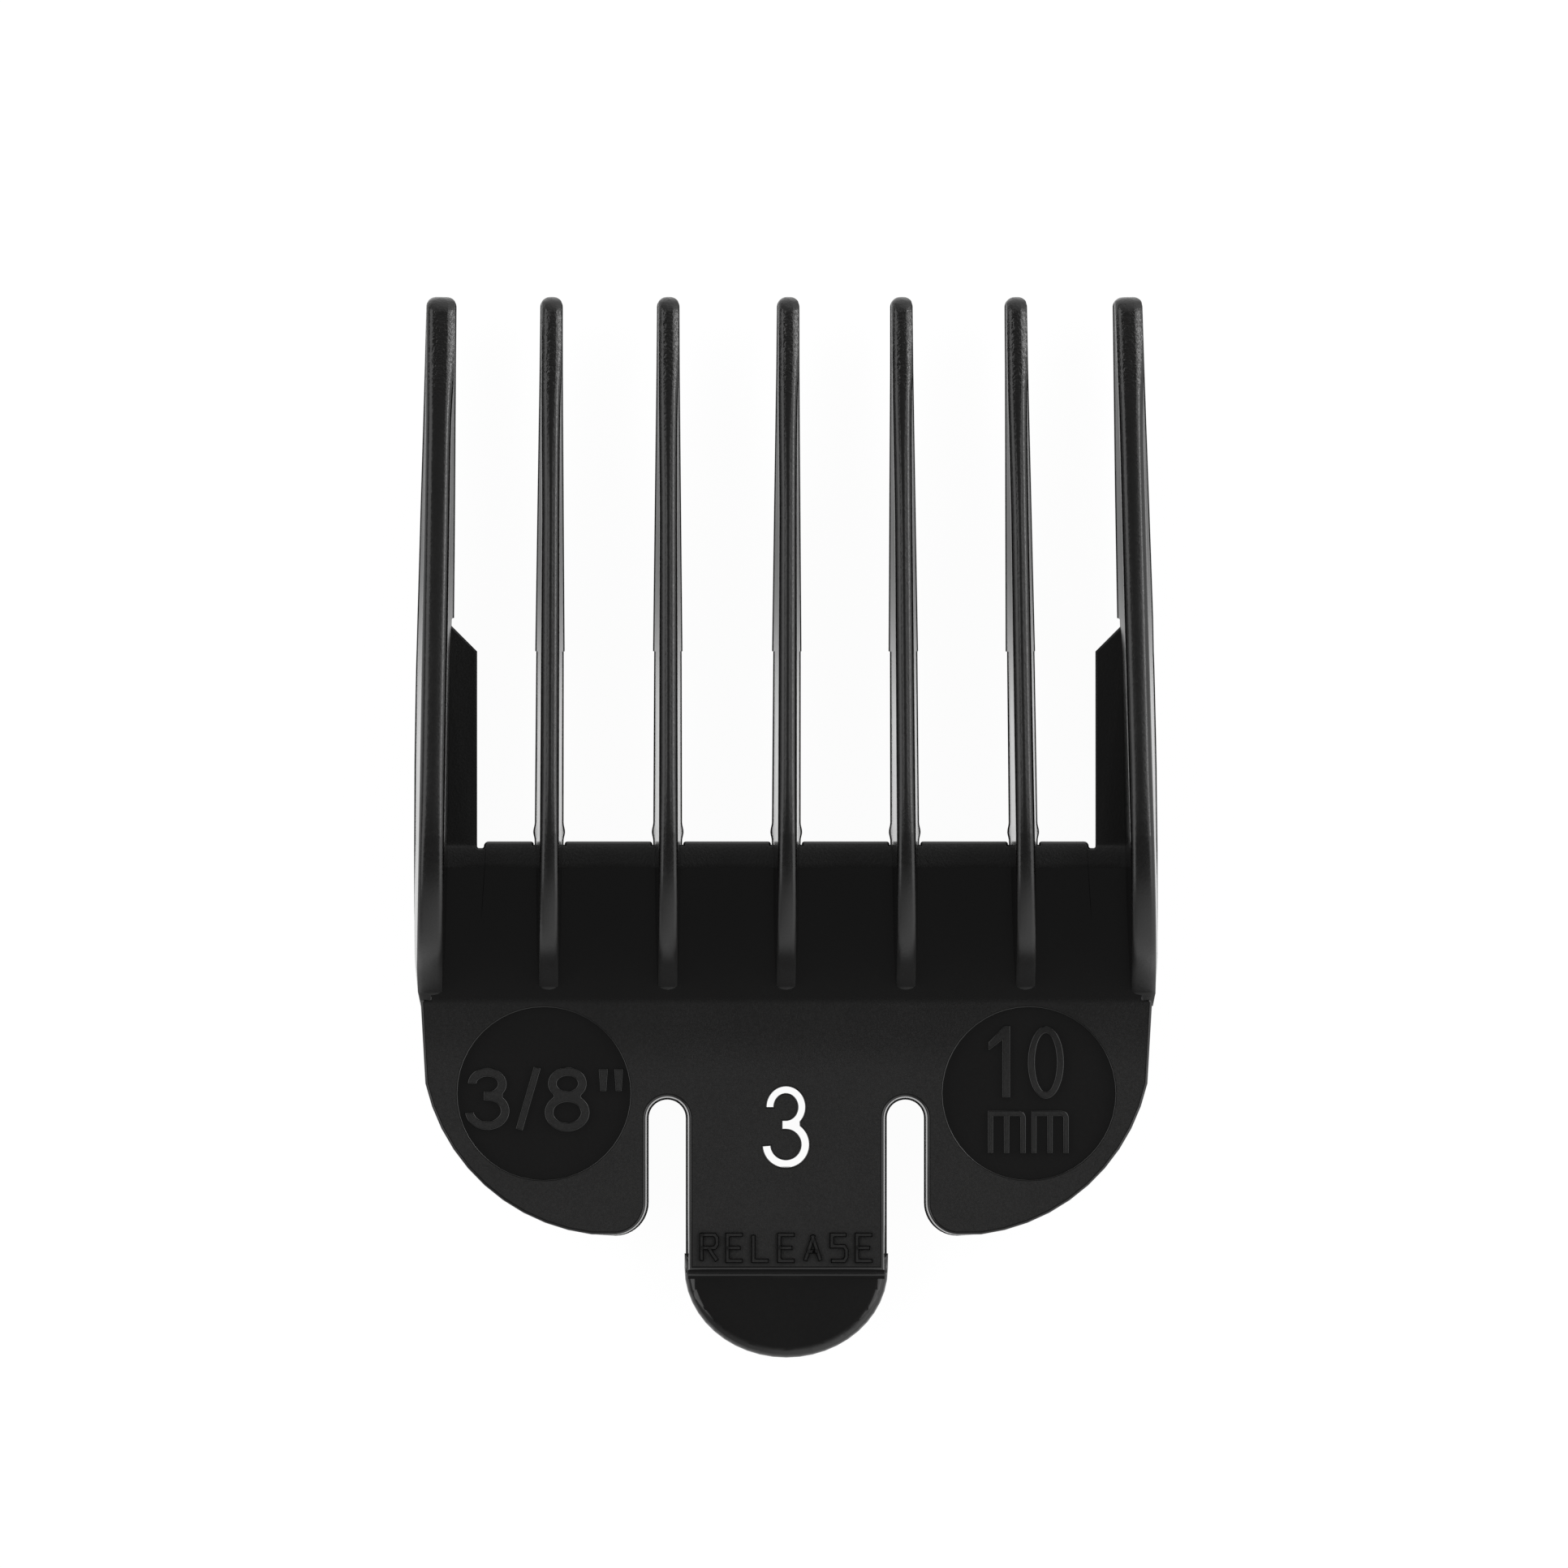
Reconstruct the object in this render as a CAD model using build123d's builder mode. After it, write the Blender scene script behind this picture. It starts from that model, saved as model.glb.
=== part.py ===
"""Clipper guard comb: a clip-on attachment comb with seven teeth and a flexing release tongue.

Frame: millimetres, +Z up on the ridge side, which lies on the skin. The blade lies underneath.
+Y runs to the tooth tips and +X to the right. The origin is under the middle of the bounding box.
"""

from build123d import *
from math import atan2, cos, degrees, radians, sin, sqrt, tan
import os

os.makedirs("parts", exist_ok=True)

# ---------------------------------------------------------------- driving dimensions, in mm and degrees
# Lengths along the comb, measured from the plate's front edge
tooth_reach = 32.85
tongue_reach = 31.15
web_depth = 9.5
hinge_setback = 14.25
slot_setback = 15.5
recess_setback = 15.2
lobe_setback = 12.05
corner_setback = 14.6
stop_ahead = 11.45
blade_length = 31.6

# Teeth
inner_teeth = 5
root_pitch = 7.15
tip_pitch = 6.95
outer_root_x = 21.35
outer_tip_x = 20.65
ridge_width = 1.2
outer_ridge_width = 1.45
ridge_edge_radius = 0.35
draft_angle = 2.0
outside_draft = 1.3
ridge_height = 12.3
crest_setback = 5.3
crest_radius = 7.1
crest_chords = 6
crest_spare = 0.04
ramp_angle = 72.0
foot_radius = 0.7
foot_edge = 0.15
tip_depth = 2.4
tip_top_radius = 1.4
tip_width = 1.34
outer_tip_width = 1.76
tip_corner_radius = 0.6
stop_depth = 2.0

# Plate
plate_thickness = 1.6
web_thickness = 1.3
web_edge_radius = 0.2
web_bevel_run = 1.6
web_bevel_drop = 0.55
plate_front_margin = 0.71
lobe_x = 10.31
lobe_radius = 11.74
lobe_corner_radius = 2.0
recess_x = 14.62
recess_radius = 5.2
recess_depth = 0.6

# Blade guides
wall_depth = 4.0
wall_front = 13.4
wall_nose = 2.0
wall_heel_rise = 1.2
wall_heel_run = 3.0
rail_inner_x = 18.64
rail_thickness = 0.75

# Release tongue
tongue_width = 12.12
slot_width = 2.16
side_clearance = 0.08
hinge_clearance = 0.05
lip_length = 5.4
lip_thickness = 1.4
lip_step = 1.0
catch_width = 10.0
catch_wall = 1.6
catch_drop = 3.0
catch_hook = 0.6
catch_lead = 0.35
heel_thickness = 2.3

# Lettering: sizes of the strokes, and of the letters that they make
figure_height = 0.45
figure_stroke = 0.58
numeral_setback = 17.0
numeral_stroke = 0.5
numeral_upper_radius = 1.06
numeral_lower_radius = 1.28
word_inset = 1.25
word_height = 0.15
word_stroke = 0.24
word_pitch = 1.525
letter_width = 0.95
letter_height = 1.6

# ---------------------------------------------------------------- levels and places that follow
front_y = (tongue_reach - tooth_reach) / 2
base_front_y = front_y - web_depth
hinge_y = front_y - hinge_setback
stop_y = front_y + stop_ahead
heel_y = stop_y - blade_length
end_y = front_y - tongue_reach
lip_y = end_y + lip_length
word_y = lip_y + word_inset

seat_z = wall_depth
plate_top_z = seat_z + plate_thickness
web_top_z = seat_z + web_thickness
hinge_z = seat_z + plate_thickness / 2
stop_z = seat_z - stop_depth
tip_top_z = stop_z + tip_depth
apex_z = seat_z + ridge_height
lip_bottom_z = plate_top_z - lip_step - lip_thickness

tongue_half = tongue_width / 2
notch_half = tongue_half + side_clearance
slot_x = tongue_half + slot_width / 2
slot_outer_x = tongue_half + slot_width
slot_round_y = front_y - slot_setback - slot_width / 2
lobe_y = front_y - lobe_setback
corner_y = front_y - corner_setback
plate_front_half = outer_root_x + plate_front_margin
corner_x = lobe_x + sqrt(lobe_radius**2 - (lobe_y - corner_y) ** 2)
lobe_inner_y = lobe_y - sqrt(lobe_radius**2 - (lobe_x - slot_outer_x) ** 2)
recess_y = front_y - recess_setback
recess_floor_z = plate_top_z - recess_depth


# ---------------------------------------------------------------- teeth and side walls
def rib_frame(root_x, tip_x):
    """Plan frame of a rib: origin on the plate's front edge, y along the rib to its tip."""
    lean = degrees(atan2(root_x - tip_x, tooth_reach))
    return Plane(origin=(root_x, front_y, 0)).rotated((0, 0, lean))


def ridge_shape(*underside):
    """Side shape of a tooth: the ridge line, closed by the corners of the underside, front edge at 0."""
    ramp_run = (apex_z - web_top_z - foot_edge) / tan(radians(ramp_angle))
    ramp_foot = (-crest_setback - ramp_run, web_top_z + foot_edge)
    with BuildSketch() as shape:
        with BuildLine():
            Polyline(
                (tooth_reach, stop_z),
                (tooth_reach, tip_top_z),
                (-crest_setback, apex_z),
                ramp_foot,
                (-web_depth, web_top_z + foot_edge),
                *underside,
                close=True,
            )
        make_face()
        fillet(shape.vertices().sort_by(Axis.Y)[-1], crest_radius)
        fillet(shape.vertices().group_by(Axis.X)[-1].sort_by(Axis.Y)[-1], tip_top_radius)
        fillet(shape.vertices().sort_by_distance(ramp_foot)[0], foot_radius)
    return shape.sketch


def ridge_corners():
    """Corners of the line that a rib's section follows: up the ridge, round the crest and down the ramp.

    It runs just above the ridge, and follows the crest's arc in short lines.
    """
    rise = atan2(apex_z - tip_top_z, tooth_reach + crest_setback)
    turn = rise + radians(ramp_angle)
    tangent = crest_radius * tan(turn / 2)
    centre_y = tangent * cos(rise) - crest_setback - crest_radius * sin(rise)
    centre_z = apex_z - tangent * sin(rise) - crest_radius * cos(rise)
    outside = crest_radius / cos(turn / crest_chords / 2)
    tilts = [rise - turn * (chord + 0.5) / crest_chords for chord in range(crest_chords)]
    rest_z = web_top_z + foot_edge + foot_radius
    rest_y = -crest_setback - (apex_z - rest_z) / tan(radians(ramp_angle))
    crest = [(centre_y + outside * sin(tilt), centre_z + outside * cos(tilt)) for tilt in tilts]
    line = [(tooth_reach, tip_top_z), *crest, (rest_y, rest_z), (-web_depth - 1, rest_z)]
    return [(y, z + crest_spare) for y, z in line]


def drafted_rib(frame, ridge, end_width, drafts, shape):
    """Rib whose flanks widen below its ridge, trimmed to a side shape and a rounded tip.

    The section stands upright and moves along the ridge line. drafts holds the left and the
    right flank's angle.
    """
    beside = Plane(frame.origin, frame.y_dir, frame.x_dir)
    left, right = [ridge / 2 + apex_z * tan(radians(angle)) for angle in drafts]
    reach = 2 * max(left, right)
    corners = [frame.origin + frame.y_dir * y + Vector(0, 0, z) for y, z in ridge_corners()]
    with BuildSketch() as section:
        with BuildLine():
            Polyline((-ridge / 2, 0), (ridge / 2, 0), (right, -apex_z), (-left, -apex_z), close=True)
        make_face()
        fillet(section.vertices().group_by(Axis.Y)[-1], ridge_edge_radius)
    with BuildPart() as rib:
        for near, far in zip(corners, corners[1:]):
            across = Plane(near, frame.x_dir, -frame.y_dir)
            extrude(across * section.sketch, amount=(far - near).length, dir=far - near)
        with BuildSketch(beside) as side_view:
            add(shape)
        with BuildSketch(frame) as plan:
            with Locations((0, tooth_reach - 2 * tip_corner_radius)):
                RectangleRounded(end_width, 4 * tip_corner_radius, tip_corner_radius)
            with Locations((0, -tip_corner_radius)):
                Rectangle(2 * reach, 2 * tooth_reach)
        extrude(side_view.sketch, amount=reach, both=True, mode=Mode.INTERSECT)
        extrude(plan.sketch, amount=apex_z, mode=Mode.INTERSECT)
    return rib.part


inner_side = ridge_shape(
    (-web_depth, web_top_z),
    (-web_bevel_run, web_top_z),
    (0, web_top_z - web_bevel_drop),
    (0, seat_z),
    (stop_ahead, seat_z),
    (stop_ahead, stop_z),
)
outer_side = ridge_shape((-web_depth, seat_z), (wall_front, seat_z), (wall_front, stop_z))
with BuildSketch() as wall_side:
    with BuildLine():
        Polyline(
            (-web_depth, seat_z),
            (-web_depth, wall_heel_rise),
            (wall_heel_run - web_depth, 0),
            (wall_front - wall_nose, 0),
            (wall_front, stop_z),
            (wall_front, seat_z),
            close=True,
        )
    make_face()

for index in range(inner_teeth):
    step = index - (inner_teeth - 1) / 2
    frame = rib_frame(step * root_pitch, step * tip_pitch)
    tooth = drafted_rib(frame, ridge_width, tip_width, (draft_angle, draft_angle), inner_side)
    tooth.label = f"tooth_{index + 1}"
    export_step(tooth, f"parts/{tooth.label}.step")

outer_tooth = {}
for side, sign, drafts, wall_drafts in (
    ("left", -1, (outside_draft, draft_angle), (outside_draft, 0)),
    ("right", 1, (draft_angle, outside_draft), (0, outside_draft)),
):
    frame = rib_frame(sign * outer_root_x, sign * outer_tip_x)
    tooth = drafted_rib(frame, outer_ridge_width, outer_tip_width, drafts, outer_side)
    tooth.label = f"tooth_outer_{side}"
    export_step(tooth, f"parts/{tooth.label}.step")
    outer_tooth[side] = tooth
    wall = drafted_rib(frame, outer_ridge_width, outer_tip_width, wall_drafts, wall_side.sketch)
    wall.label = f"side_wall_{side}"
    export_step(wall, f"parts/{wall.label}.step")

# ---------------------------------------------------------------- web and blade rails
with BuildPart() as comb_web:
    with BuildSketch(Plane.YZ):
        with BuildLine():
            Polyline(
                (base_front_y, seat_z),
                (front_y, seat_z),
                (front_y, web_top_z - web_bevel_drop),
                (front_y - web_bevel_run, web_top_z),
                (base_front_y, web_top_z),
                close=True,
            )
        make_face()
    extrude(amount=outer_root_x, both=True)
    fillet(comb_web.edges().filter_by(Axis.X).group_by(Axis.Y)[-1].sort_by(Axis.Z)[-1], web_edge_radius)
    add(outer_tooth["left"], mode=Mode.SUBTRACT)
    add(outer_tooth["right"], mode=Mode.SUBTRACT)
comb_web.part.label = "comb_web"
export_step(comb_web.part, "parts/comb_web.step")

# A rail's sloped end rises at 45 degrees as far as the middle line of the outer tooth, which leans in
outer_lean = (outer_root_x - outer_tip_x) / tooth_reach
rail_run = (outer_root_x - rail_inner_x - outer_lean * (stop_y - front_y)) / (1 + outer_lean)
for side, sign in (("left", -1), ("right", 1)):
    with BuildPart() as blade_rail:
        with BuildSketch(Plane.XY.offset(seat_z)):
            with BuildLine():
                Polyline(
                    (sign * rail_inner_x, front_y),
                    (sign * outer_root_x, front_y),
                    (sign * (rail_inner_x + rail_run), stop_y + rail_run),
                    (sign * rail_inner_x, stop_y),
                    close=True,
                )
            make_face()
        extrude(amount=rail_thickness)
        add(outer_tooth[side], mode=Mode.SUBTRACT)
    blade_rail.part.label = f"blade_rail_{side}"
    export_step(blade_rail.part, f"parts/blade_rail_{side}.step")

# ---------------------------------------------------------------- base plate
with BuildPart() as base_plate:
    with BuildSketch(Plane.XY.offset(seat_z)) as outline:
        with BuildLine():
            front = Line((0, base_front_y), (plate_front_half, base_front_y))
            flank = Line(front @ 1, (corner_x, corner_y))
            lobe = RadiusArc(flank @ 1, (slot_outer_x, lobe_inner_y), lobe_radius)
            Line(lobe @ 1, (0, lobe_inner_y))
            mirror(about=Plane.YZ)
        make_face()
        with Locations((0, (slot_round_y + end_y) / 2)):
            Rectangle(2 * slot_outer_x, slot_round_y - end_y, mode=Mode.SUBTRACT)
        with Locations((-slot_x, slot_round_y), (slot_x, slot_round_y)):
            Circle(slot_width / 2, mode=Mode.SUBTRACT)
        with Locations((0, (hinge_y + slot_round_y) / 2)):
            Rectangle(2 * notch_half, hinge_y - slot_round_y, mode=Mode.SUBTRACT)
        fillet(outline.vertices().group_by(Axis.Y)[0], lobe_corner_radius)
    extrude(amount=plate_thickness)
    with BuildSketch(Plane.YZ.offset(-notch_half)):
        with Locations((hinge_y, hinge_z)):
            Circle(plate_thickness / 2 + hinge_clearance)
    extrude(amount=2 * notch_half, mode=Mode.SUBTRACT)
    with BuildSketch(Plane.XY.offset(recess_floor_z)):
        with Locations((-recess_x, recess_y), (recess_x, recess_y)):
            Circle(recess_radius)
    extrude(amount=recess_depth, mode=Mode.SUBTRACT)
base_plate.part.label = "base_plate"
export_step(base_plate.part, "parts/base_plate.step")


# ---------------------------------------------------------------- lettering
def figure_three(centre_x, waist_y, upper, lower):
    """Centre line of a 3: two bowls that meet at the waist, each given by its radii across and up."""
    EllipticalCenterArc((centre_x, waist_y + upper[1]), *upper, start_angle=-90, arc_size=265)
    EllipticalCenterArc((centre_x, waist_y - lower[1]), *lower, start_angle=90, arc_size=-265)
    Line((centre_x, waist_y), (centre_x - upper[0] / 4, waist_y))


# The figures lie on a grid of a hundredth of the recess radius, so they always fit the recess
grid = recess_radius / 100
fine_stroke = 0.75 * figure_stroke

with BuildPart() as size_figures_left:
    with BuildSketch(Plane((-recess_x, recess_y, recess_floor_z))):
        with BuildLine():
            figure_three(-65 * grid, -3 * grid, (17.5 * grid, 13.5 * grid), (20.5 * grid, 17 * grid))
        trace(line_width=figure_stroke)
        with BuildLine():
            Line((-29 * grid, -42 * grid), (-8 * grid, 30 * grid))
        trace(line_width=fine_stroke)
        for edge, mode in ((figure_stroke / 2, Mode.ADD), (-figure_stroke / 2, Mode.SUBTRACT)):
            for ring_y, across, up in ((11 * grid, 16 * grid, 13 * grid), (-22 * grid, 20 * grid, 17 * grid)):
                with Locations((27 * grid, ring_y)):
                    Ellipse(across + edge, up + edge, mode=mode)
        for mark_x in (67 * grid, 84 * grid):
            with BuildLine():
                Line((mark_x, 28 * grid), (mark_x, 3 * grid))
            trace(line_width=fine_stroke)
    extrude(amount=figure_height)
size_figures_left.part.label = "size_figures_left"
export_step(size_figures_left.part, "parts/size_figures_left.step")

with BuildPart() as size_figures_right:
    with BuildSketch(Plane((recess_x, recess_y, recess_floor_z))):
        with BuildLine():
            Polyline((-44 * grid, 54 * grid), (-27 * grid, 71 * grid), (-27 * grid, -5 * grid))
        trace(line_width=fine_stroke)
        with Locations((20 * grid, 36 * grid)):
            SlotOverall(84 * grid, 34 * grid + fine_stroke, rotation=90)
            SlotOverall(84 * grid - 2 * fine_stroke, 34 * grid - fine_stroke, rotation=90, mode=Mode.SUBTRACT)
        for left_x in (-45 * grid, 6 * grid):
            right_x = left_x + 38 * grid
            middle_x = (left_x + right_x) / 2
            with BuildLine():
                Polyline((left_x, -70 * grid), (left_x, -23 * grid), (right_x, -23 * grid), (right_x, -70 * grid))
                Line((middle_x, -70 * grid), (middle_x, -23 * grid))
            trace(line_width=0.6 * figure_stroke)
    extrude(amount=figure_height)
size_figures_right.part.label = "size_figures_right"
export_step(size_figures_right.part, "parts/size_figures_right.step")

# Strokes of each letter on a grid one letter wide and one letter high
letter_strokes = {
    "R": [[(0, 0), (0, 1), (0.85, 1), (1, 0.85), (1, 0.65), (0.85, 0.5), (0, 0.5)], [(0.5, 0.5), (1, 0)]],
    "E": [[(1, 0), (0, 0), (0, 1), (1, 1)], [(0, 0.5), (0.9, 0.5)]],
    "L": [[(0, 1), (0, 0), (1, 0)]],
    "A": [[(0, 0), (0.5, 1), (1, 0)], [(0.18, 0.36), (0.82, 0.36)]],
    "S": [[(1, 1), (0.12, 1), (0.12, 0.58), (0.85, 0.58), (1, 0.42), (1, 0.15), (0.85, 0), (0, 0)]],
}
word = "RELEASE"

with BuildPart() as release_word:
    with BuildSketch(Plane.XY.offset(plate_top_z)):
        for place, letter in enumerate(word):
            left_x = (place - (len(word) - 1) / 2) * word_pitch - letter_width / 2
            low_y = word_y - letter_height / 2
            for stroke in letter_strokes[letter]:
                with BuildLine():
                    Polyline([(left_x + x * letter_width, low_y + y * letter_height) for x, y in stroke])
                trace(line_width=word_stroke)
    extrude(amount=word_height)
release_word.part.label = "release_word"
export_step(release_word.part, "parts/release_word.step")

# ---------------------------------------------------------------- release tongue, its lip and its catch
with BuildPart() as release_tongue:
    with BuildSketch(Plane.YZ.offset(-tongue_half)):
        with Locations((hinge_y, hinge_z)):
            Circle(plate_thickness / 2)
        with Locations(((hinge_y + lip_y) / 2, hinge_z)):
            Rectangle(hinge_y - lip_y, plate_thickness)
    extrude(amount=tongue_width)
    with BuildSketch(Plane.XY.offset(seat_z)):
        with BuildLine():
            figure_three(0, front_y - numeral_setback, [numeral_upper_radius] * 2, [numeral_lower_radius] * 2)
        trace(line_width=numeral_stroke)
    extrude(amount=plate_thickness, mode=Mode.SUBTRACT)
release_tongue.part.label = "release_tongue"
export_step(release_tongue.part, "parts/release_tongue.step")

with BuildPart() as thumb_lip:
    with BuildSketch(Plane.XY.offset(lip_bottom_z)):
        with Locations((0, lip_y)):
            Ellipse(tongue_half, lip_length)
        with Locations((0, lip_y + lip_length / 2)):
            Rectangle(tongue_width, lip_length, mode=Mode.SUBTRACT)
    extrude(amount=lip_thickness)
thumb_lip.part.label = "thumb_lip"
export_step(thumb_lip.part, "parts/thumb_lip.step")

with BuildPart() as heel_catch:
    with BuildSketch(Plane.YZ.offset(-catch_width / 2)):
        with BuildLine():
            Polyline(
                (heel_y, seat_z),
                (heel_y, seat_z - heel_thickness),
                (heel_y + catch_hook, seat_z - heel_thickness),
                (heel_y + catch_hook - catch_lead, seat_z - catch_drop),
                (heel_y - catch_wall, seat_z - catch_drop),
                (heel_y - catch_wall, seat_z),
                close=True,
            )
        make_face()
    extrude(amount=catch_width)
heel_catch.part.label = "heel_catch"
export_step(heel_catch.part, "parts/heel_catch.step")
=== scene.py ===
"""Looks of a clipper guard comb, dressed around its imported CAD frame.

The axes are the frame's own: +Z up on the ridge side, +Y to the tooth tips and +X to the right.
Sizes are in millimetres, and a mesh is scaled to metres once its shape is final.
"""

import logging
from collections.abc import Callable, Iterable, Sequence
from dataclasses import dataclass, field, replace
from enum import IntEnum
from math import atan2, ceil, cos, degrees, hypot, pi, radians, sin, sqrt, tan

import bmesh
import bpy
from mathutils import Matrix, Vector
from mathutils.geometry import delaunay_2d_cdt


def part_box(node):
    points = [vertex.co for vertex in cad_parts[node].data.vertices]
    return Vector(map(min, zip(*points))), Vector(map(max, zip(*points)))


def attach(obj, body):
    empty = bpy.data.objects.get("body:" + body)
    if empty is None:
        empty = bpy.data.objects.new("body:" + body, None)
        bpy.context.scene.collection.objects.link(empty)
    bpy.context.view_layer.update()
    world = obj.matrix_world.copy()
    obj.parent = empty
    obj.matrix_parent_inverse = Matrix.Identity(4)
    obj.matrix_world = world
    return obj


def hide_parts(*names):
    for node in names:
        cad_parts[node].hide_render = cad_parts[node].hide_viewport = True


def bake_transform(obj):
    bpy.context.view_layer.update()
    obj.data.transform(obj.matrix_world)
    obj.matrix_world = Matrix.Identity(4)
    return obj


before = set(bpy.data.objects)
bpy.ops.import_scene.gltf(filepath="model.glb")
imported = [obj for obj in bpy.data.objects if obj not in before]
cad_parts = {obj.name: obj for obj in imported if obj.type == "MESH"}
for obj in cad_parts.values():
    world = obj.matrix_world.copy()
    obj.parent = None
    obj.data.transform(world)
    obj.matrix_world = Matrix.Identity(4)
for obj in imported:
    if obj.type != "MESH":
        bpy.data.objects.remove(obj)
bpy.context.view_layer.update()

log = logging.getLogger("guard_comb")

MM = 0.001
ARC_STEP = 7.5  # degrees between the points of an arc
ROUND_STEPS = 5  # bands in the rounding of a rim
SHOULDER_STEPS = 9  # points on a tooth's shoulder
SHARP_ANGLE = radians(32)
GRAIN_ANGLE = radians(4)  # where a grained face meets a smooth one
WAIST_SLACK = 1.12  # keeps the corners at the waist of a 3 apart

Line = Sequence[tuple[float, float]]


class Face(IntEnum):
    """Finish that a face of the moulding takes, as the number of its material slot."""

    POLISHED = 0
    GRAINED = 1
    RIDGE = 2


# ---------------------------------------------------------------- lines and plan outlines
def along(line: Line, place: float) -> float:
    """Reads a line at a place; it runs straight between its points and level beyond its ends."""
    for (start, low), (end, high) in zip(line, line[1:]):
        if place <= end:
            return low + (high - low) * (max(place, start) - start) / (end - start)
    return line[-1][1]


@dataclass(frozen=True)
class Corner:
    """A corner of an outline, rounded by its radius."""

    x: float
    y: float
    radius: float = 0.0


def arc(centre: Sequence[float], radii: float | Sequence[float], start: float, end: float) -> list[Vector]:
    """Points along a circle or an ellipse.

    Args:
        centre: Its middle.
        radii: One radius, or the radii across and up.
        start: First angle, in degrees.
        end: Last angle, in degrees.

    Returns:
        The points, with both ends included.
    """
    across, up = (radii, radii) if isinstance(radii, (int, float)) else radii
    count = max(2, ceil(abs(end - start) / ARC_STEP))
    angles = [radians(start + (end - start) * step / count) for step in range(count + 1)]
    return [Vector((centre[0] + across * cos(a), centre[1] + up * sin(a))) for a in angles]


def rounded(corners: Sequence[Corner], closed: bool = True) -> list[Vector]:
    """Draws an outline through its corners, each with its own rounding.

    Args:
        corners: The corners in order.
        closed: Whether the last corner joins the first.

    Returns:
        The outline's points.
    """
    points: list[Vector] = []
    last = len(corners) - 1
    for index, corner in enumerate(corners):
        here = Vector((corner.x, corner.y))
        if corner.radius <= 0 or (not closed and index in (0, last)):
            points.append(here)
            continue
        before, after = corners[index - 1], corners[(index + 1) % len(corners)]
        back = (Vector((before.x, before.y)) - here).normalized()
        ahead = (Vector((after.x, after.y)) - here).normalized()
        opening = back.angle(ahead)
        tangent = corner.radius / tan(opening / 2)
        middle = here + (back + ahead).normalized() * (corner.radius / sin(opening / 2))
        first, final = here + back * tangent - middle, here + ahead * tangent - middle
        start = degrees(atan2(first.y, first.x))
        turn = degrees(atan2(first.x * final.y - first.y * final.x, first.dot(final)))
        points += arc(middle, corner.radius, start, start + turn)
    return points


def inset(points: Sequence[Vector], distances: Sequence[float]) -> list[Vector]:
    """Moves the points of a closed outline to its left, along their mitres.

    Args:
        points: The outline.
        distances: How far each point's two edges move.

    Returns:
        The moved points.
    """
    moved = []
    for index, point in enumerate(points):
        before = (point - points[index - 1]).normalized()
        after = (points[(index + 1) % len(points)] - point).normalized()
        left_before, left_after = Vector((-before.y, before.x)), Vector((-after.y, after.x))
        mitre = (left_before + left_after) / (1 + left_before.dot(left_after))
        moved.append(point + mitre * distances[index])
    return moved


def encloses(outline: Sequence[Vector], point: Vector) -> bool:
    """Tells whether an outline goes round a point."""
    inside = False
    for index, here in enumerate(outline):
        before = outline[index - 1]
        if (here.y > point.y) != (before.y > point.y):
            crossing = before.x + (point.y - before.y) / (here.y - before.y) * (here.x - before.x)
            inside ^= point.x < crossing
    return inside


def clear_arc(
    centre: Sequence[float],
    radii: Sequence[float],
    turn: tuple[float, float],
    other: tuple[Sequence[float], Sequence[float]],
    slack: float = 1.0,
) -> list[Vector]:
    """Points along an ellipse that lie clear of another one.

    Args:
        centre: Its middle.
        radii: Its radii across and up.
        turn: First and last angle, in degrees.
        other: The other ellipse's middle and radii.
        slack: Share of the other ellipse's area that is kept clear.

    Returns:
        The points.
    """
    (middle_x, middle_y), (across, up) = other
    points = arc(centre, radii, *turn)
    return [p for p in points if ((p.x - middle_x) / across) ** 2 + ((p.y - middle_y) / up) ** 2 > slack]


def grown(radii: Sequence[float], margin: float) -> tuple[float, float]:
    """Radii of an ellipse drawn a margin further out."""
    return radii[0] + margin, radii[1] + margin


def three_outline(
    upper_centre: Sequence[float],
    upper: Sequence[float],
    lower_centre: Sequence[float],
    lower: Sequence[float],
    widths: tuple[float, float],
    tail: float,
) -> list[Vector]:
    """Outline of a 3 made of two bowls that meet at its waist.

    Args:
        upper_centre: Middle of the upper bowl.
        upper: Its radii across and up, to the middle of the stroke.
        lower_centre: Middle of the lower bowl.
        lower: Its radii across and up.
        widths: Stroke widths of the upper and of the lower bowl.
        tail: How far the stroke at the waist reaches left of the middle.

    Returns:
        The outline, clockwise.
    """
    upper_outer, upper_inner = grown(upper, widths[0] / 2), grown(upper, -widths[0] / 2)
    lower_outer, lower_inner = grown(lower, widths[1] / 2), grown(lower, -widths[1] / 2)
    top = clear_arc(upper_centre, upper_outer, (180, -90), (lower_centre, lower_outer), WAIST_SLACK)
    base = clear_arc(lower_centre, lower_outer, (90, -175), (upper_centre, upper_outer), WAIST_SLACK)
    inner_base = arc(lower_centre, lower_inner, -175, 90)
    inner_top = arc(upper_centre, upper_inner, -90, 180)
    edge = [Vector((point.x - tail, point.y)) for point in (inner_base[-1], inner_top[0])]
    return top + base + inner_base + edge + inner_top


def stroke(line: Sequence[Sequence[float]], width: float) -> list[Vector]:
    """Outline of an open line drawn with a square-ended pen.

    Args:
        line: Points along the middle of the stroke.
        width: Width of the stroke.

    Returns:
        The outline, anticlockwise.
    """
    middle = [Vector(point) for point in line]
    sides: dict[int, list[Vector]] = {1: [], -1: []}
    for index, point in enumerate(middle):
        before = (point - middle[index - 1]).normalized() if index else None
        after = (middle[index + 1] - point).normalized() if index + 1 < len(middle) else None
        before, after = before or after, after or before
        left_before, left_after = Vector((-before.y, before.x)), Vector((-after.y, after.x))
        mitre = (left_before + left_after) / (1 + left_before.dot(left_after))
        for side, points in sides.items():
            points.append(point + mitre * (side * width / 2))
    return sides[-1] + sides[1][::-1]


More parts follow.
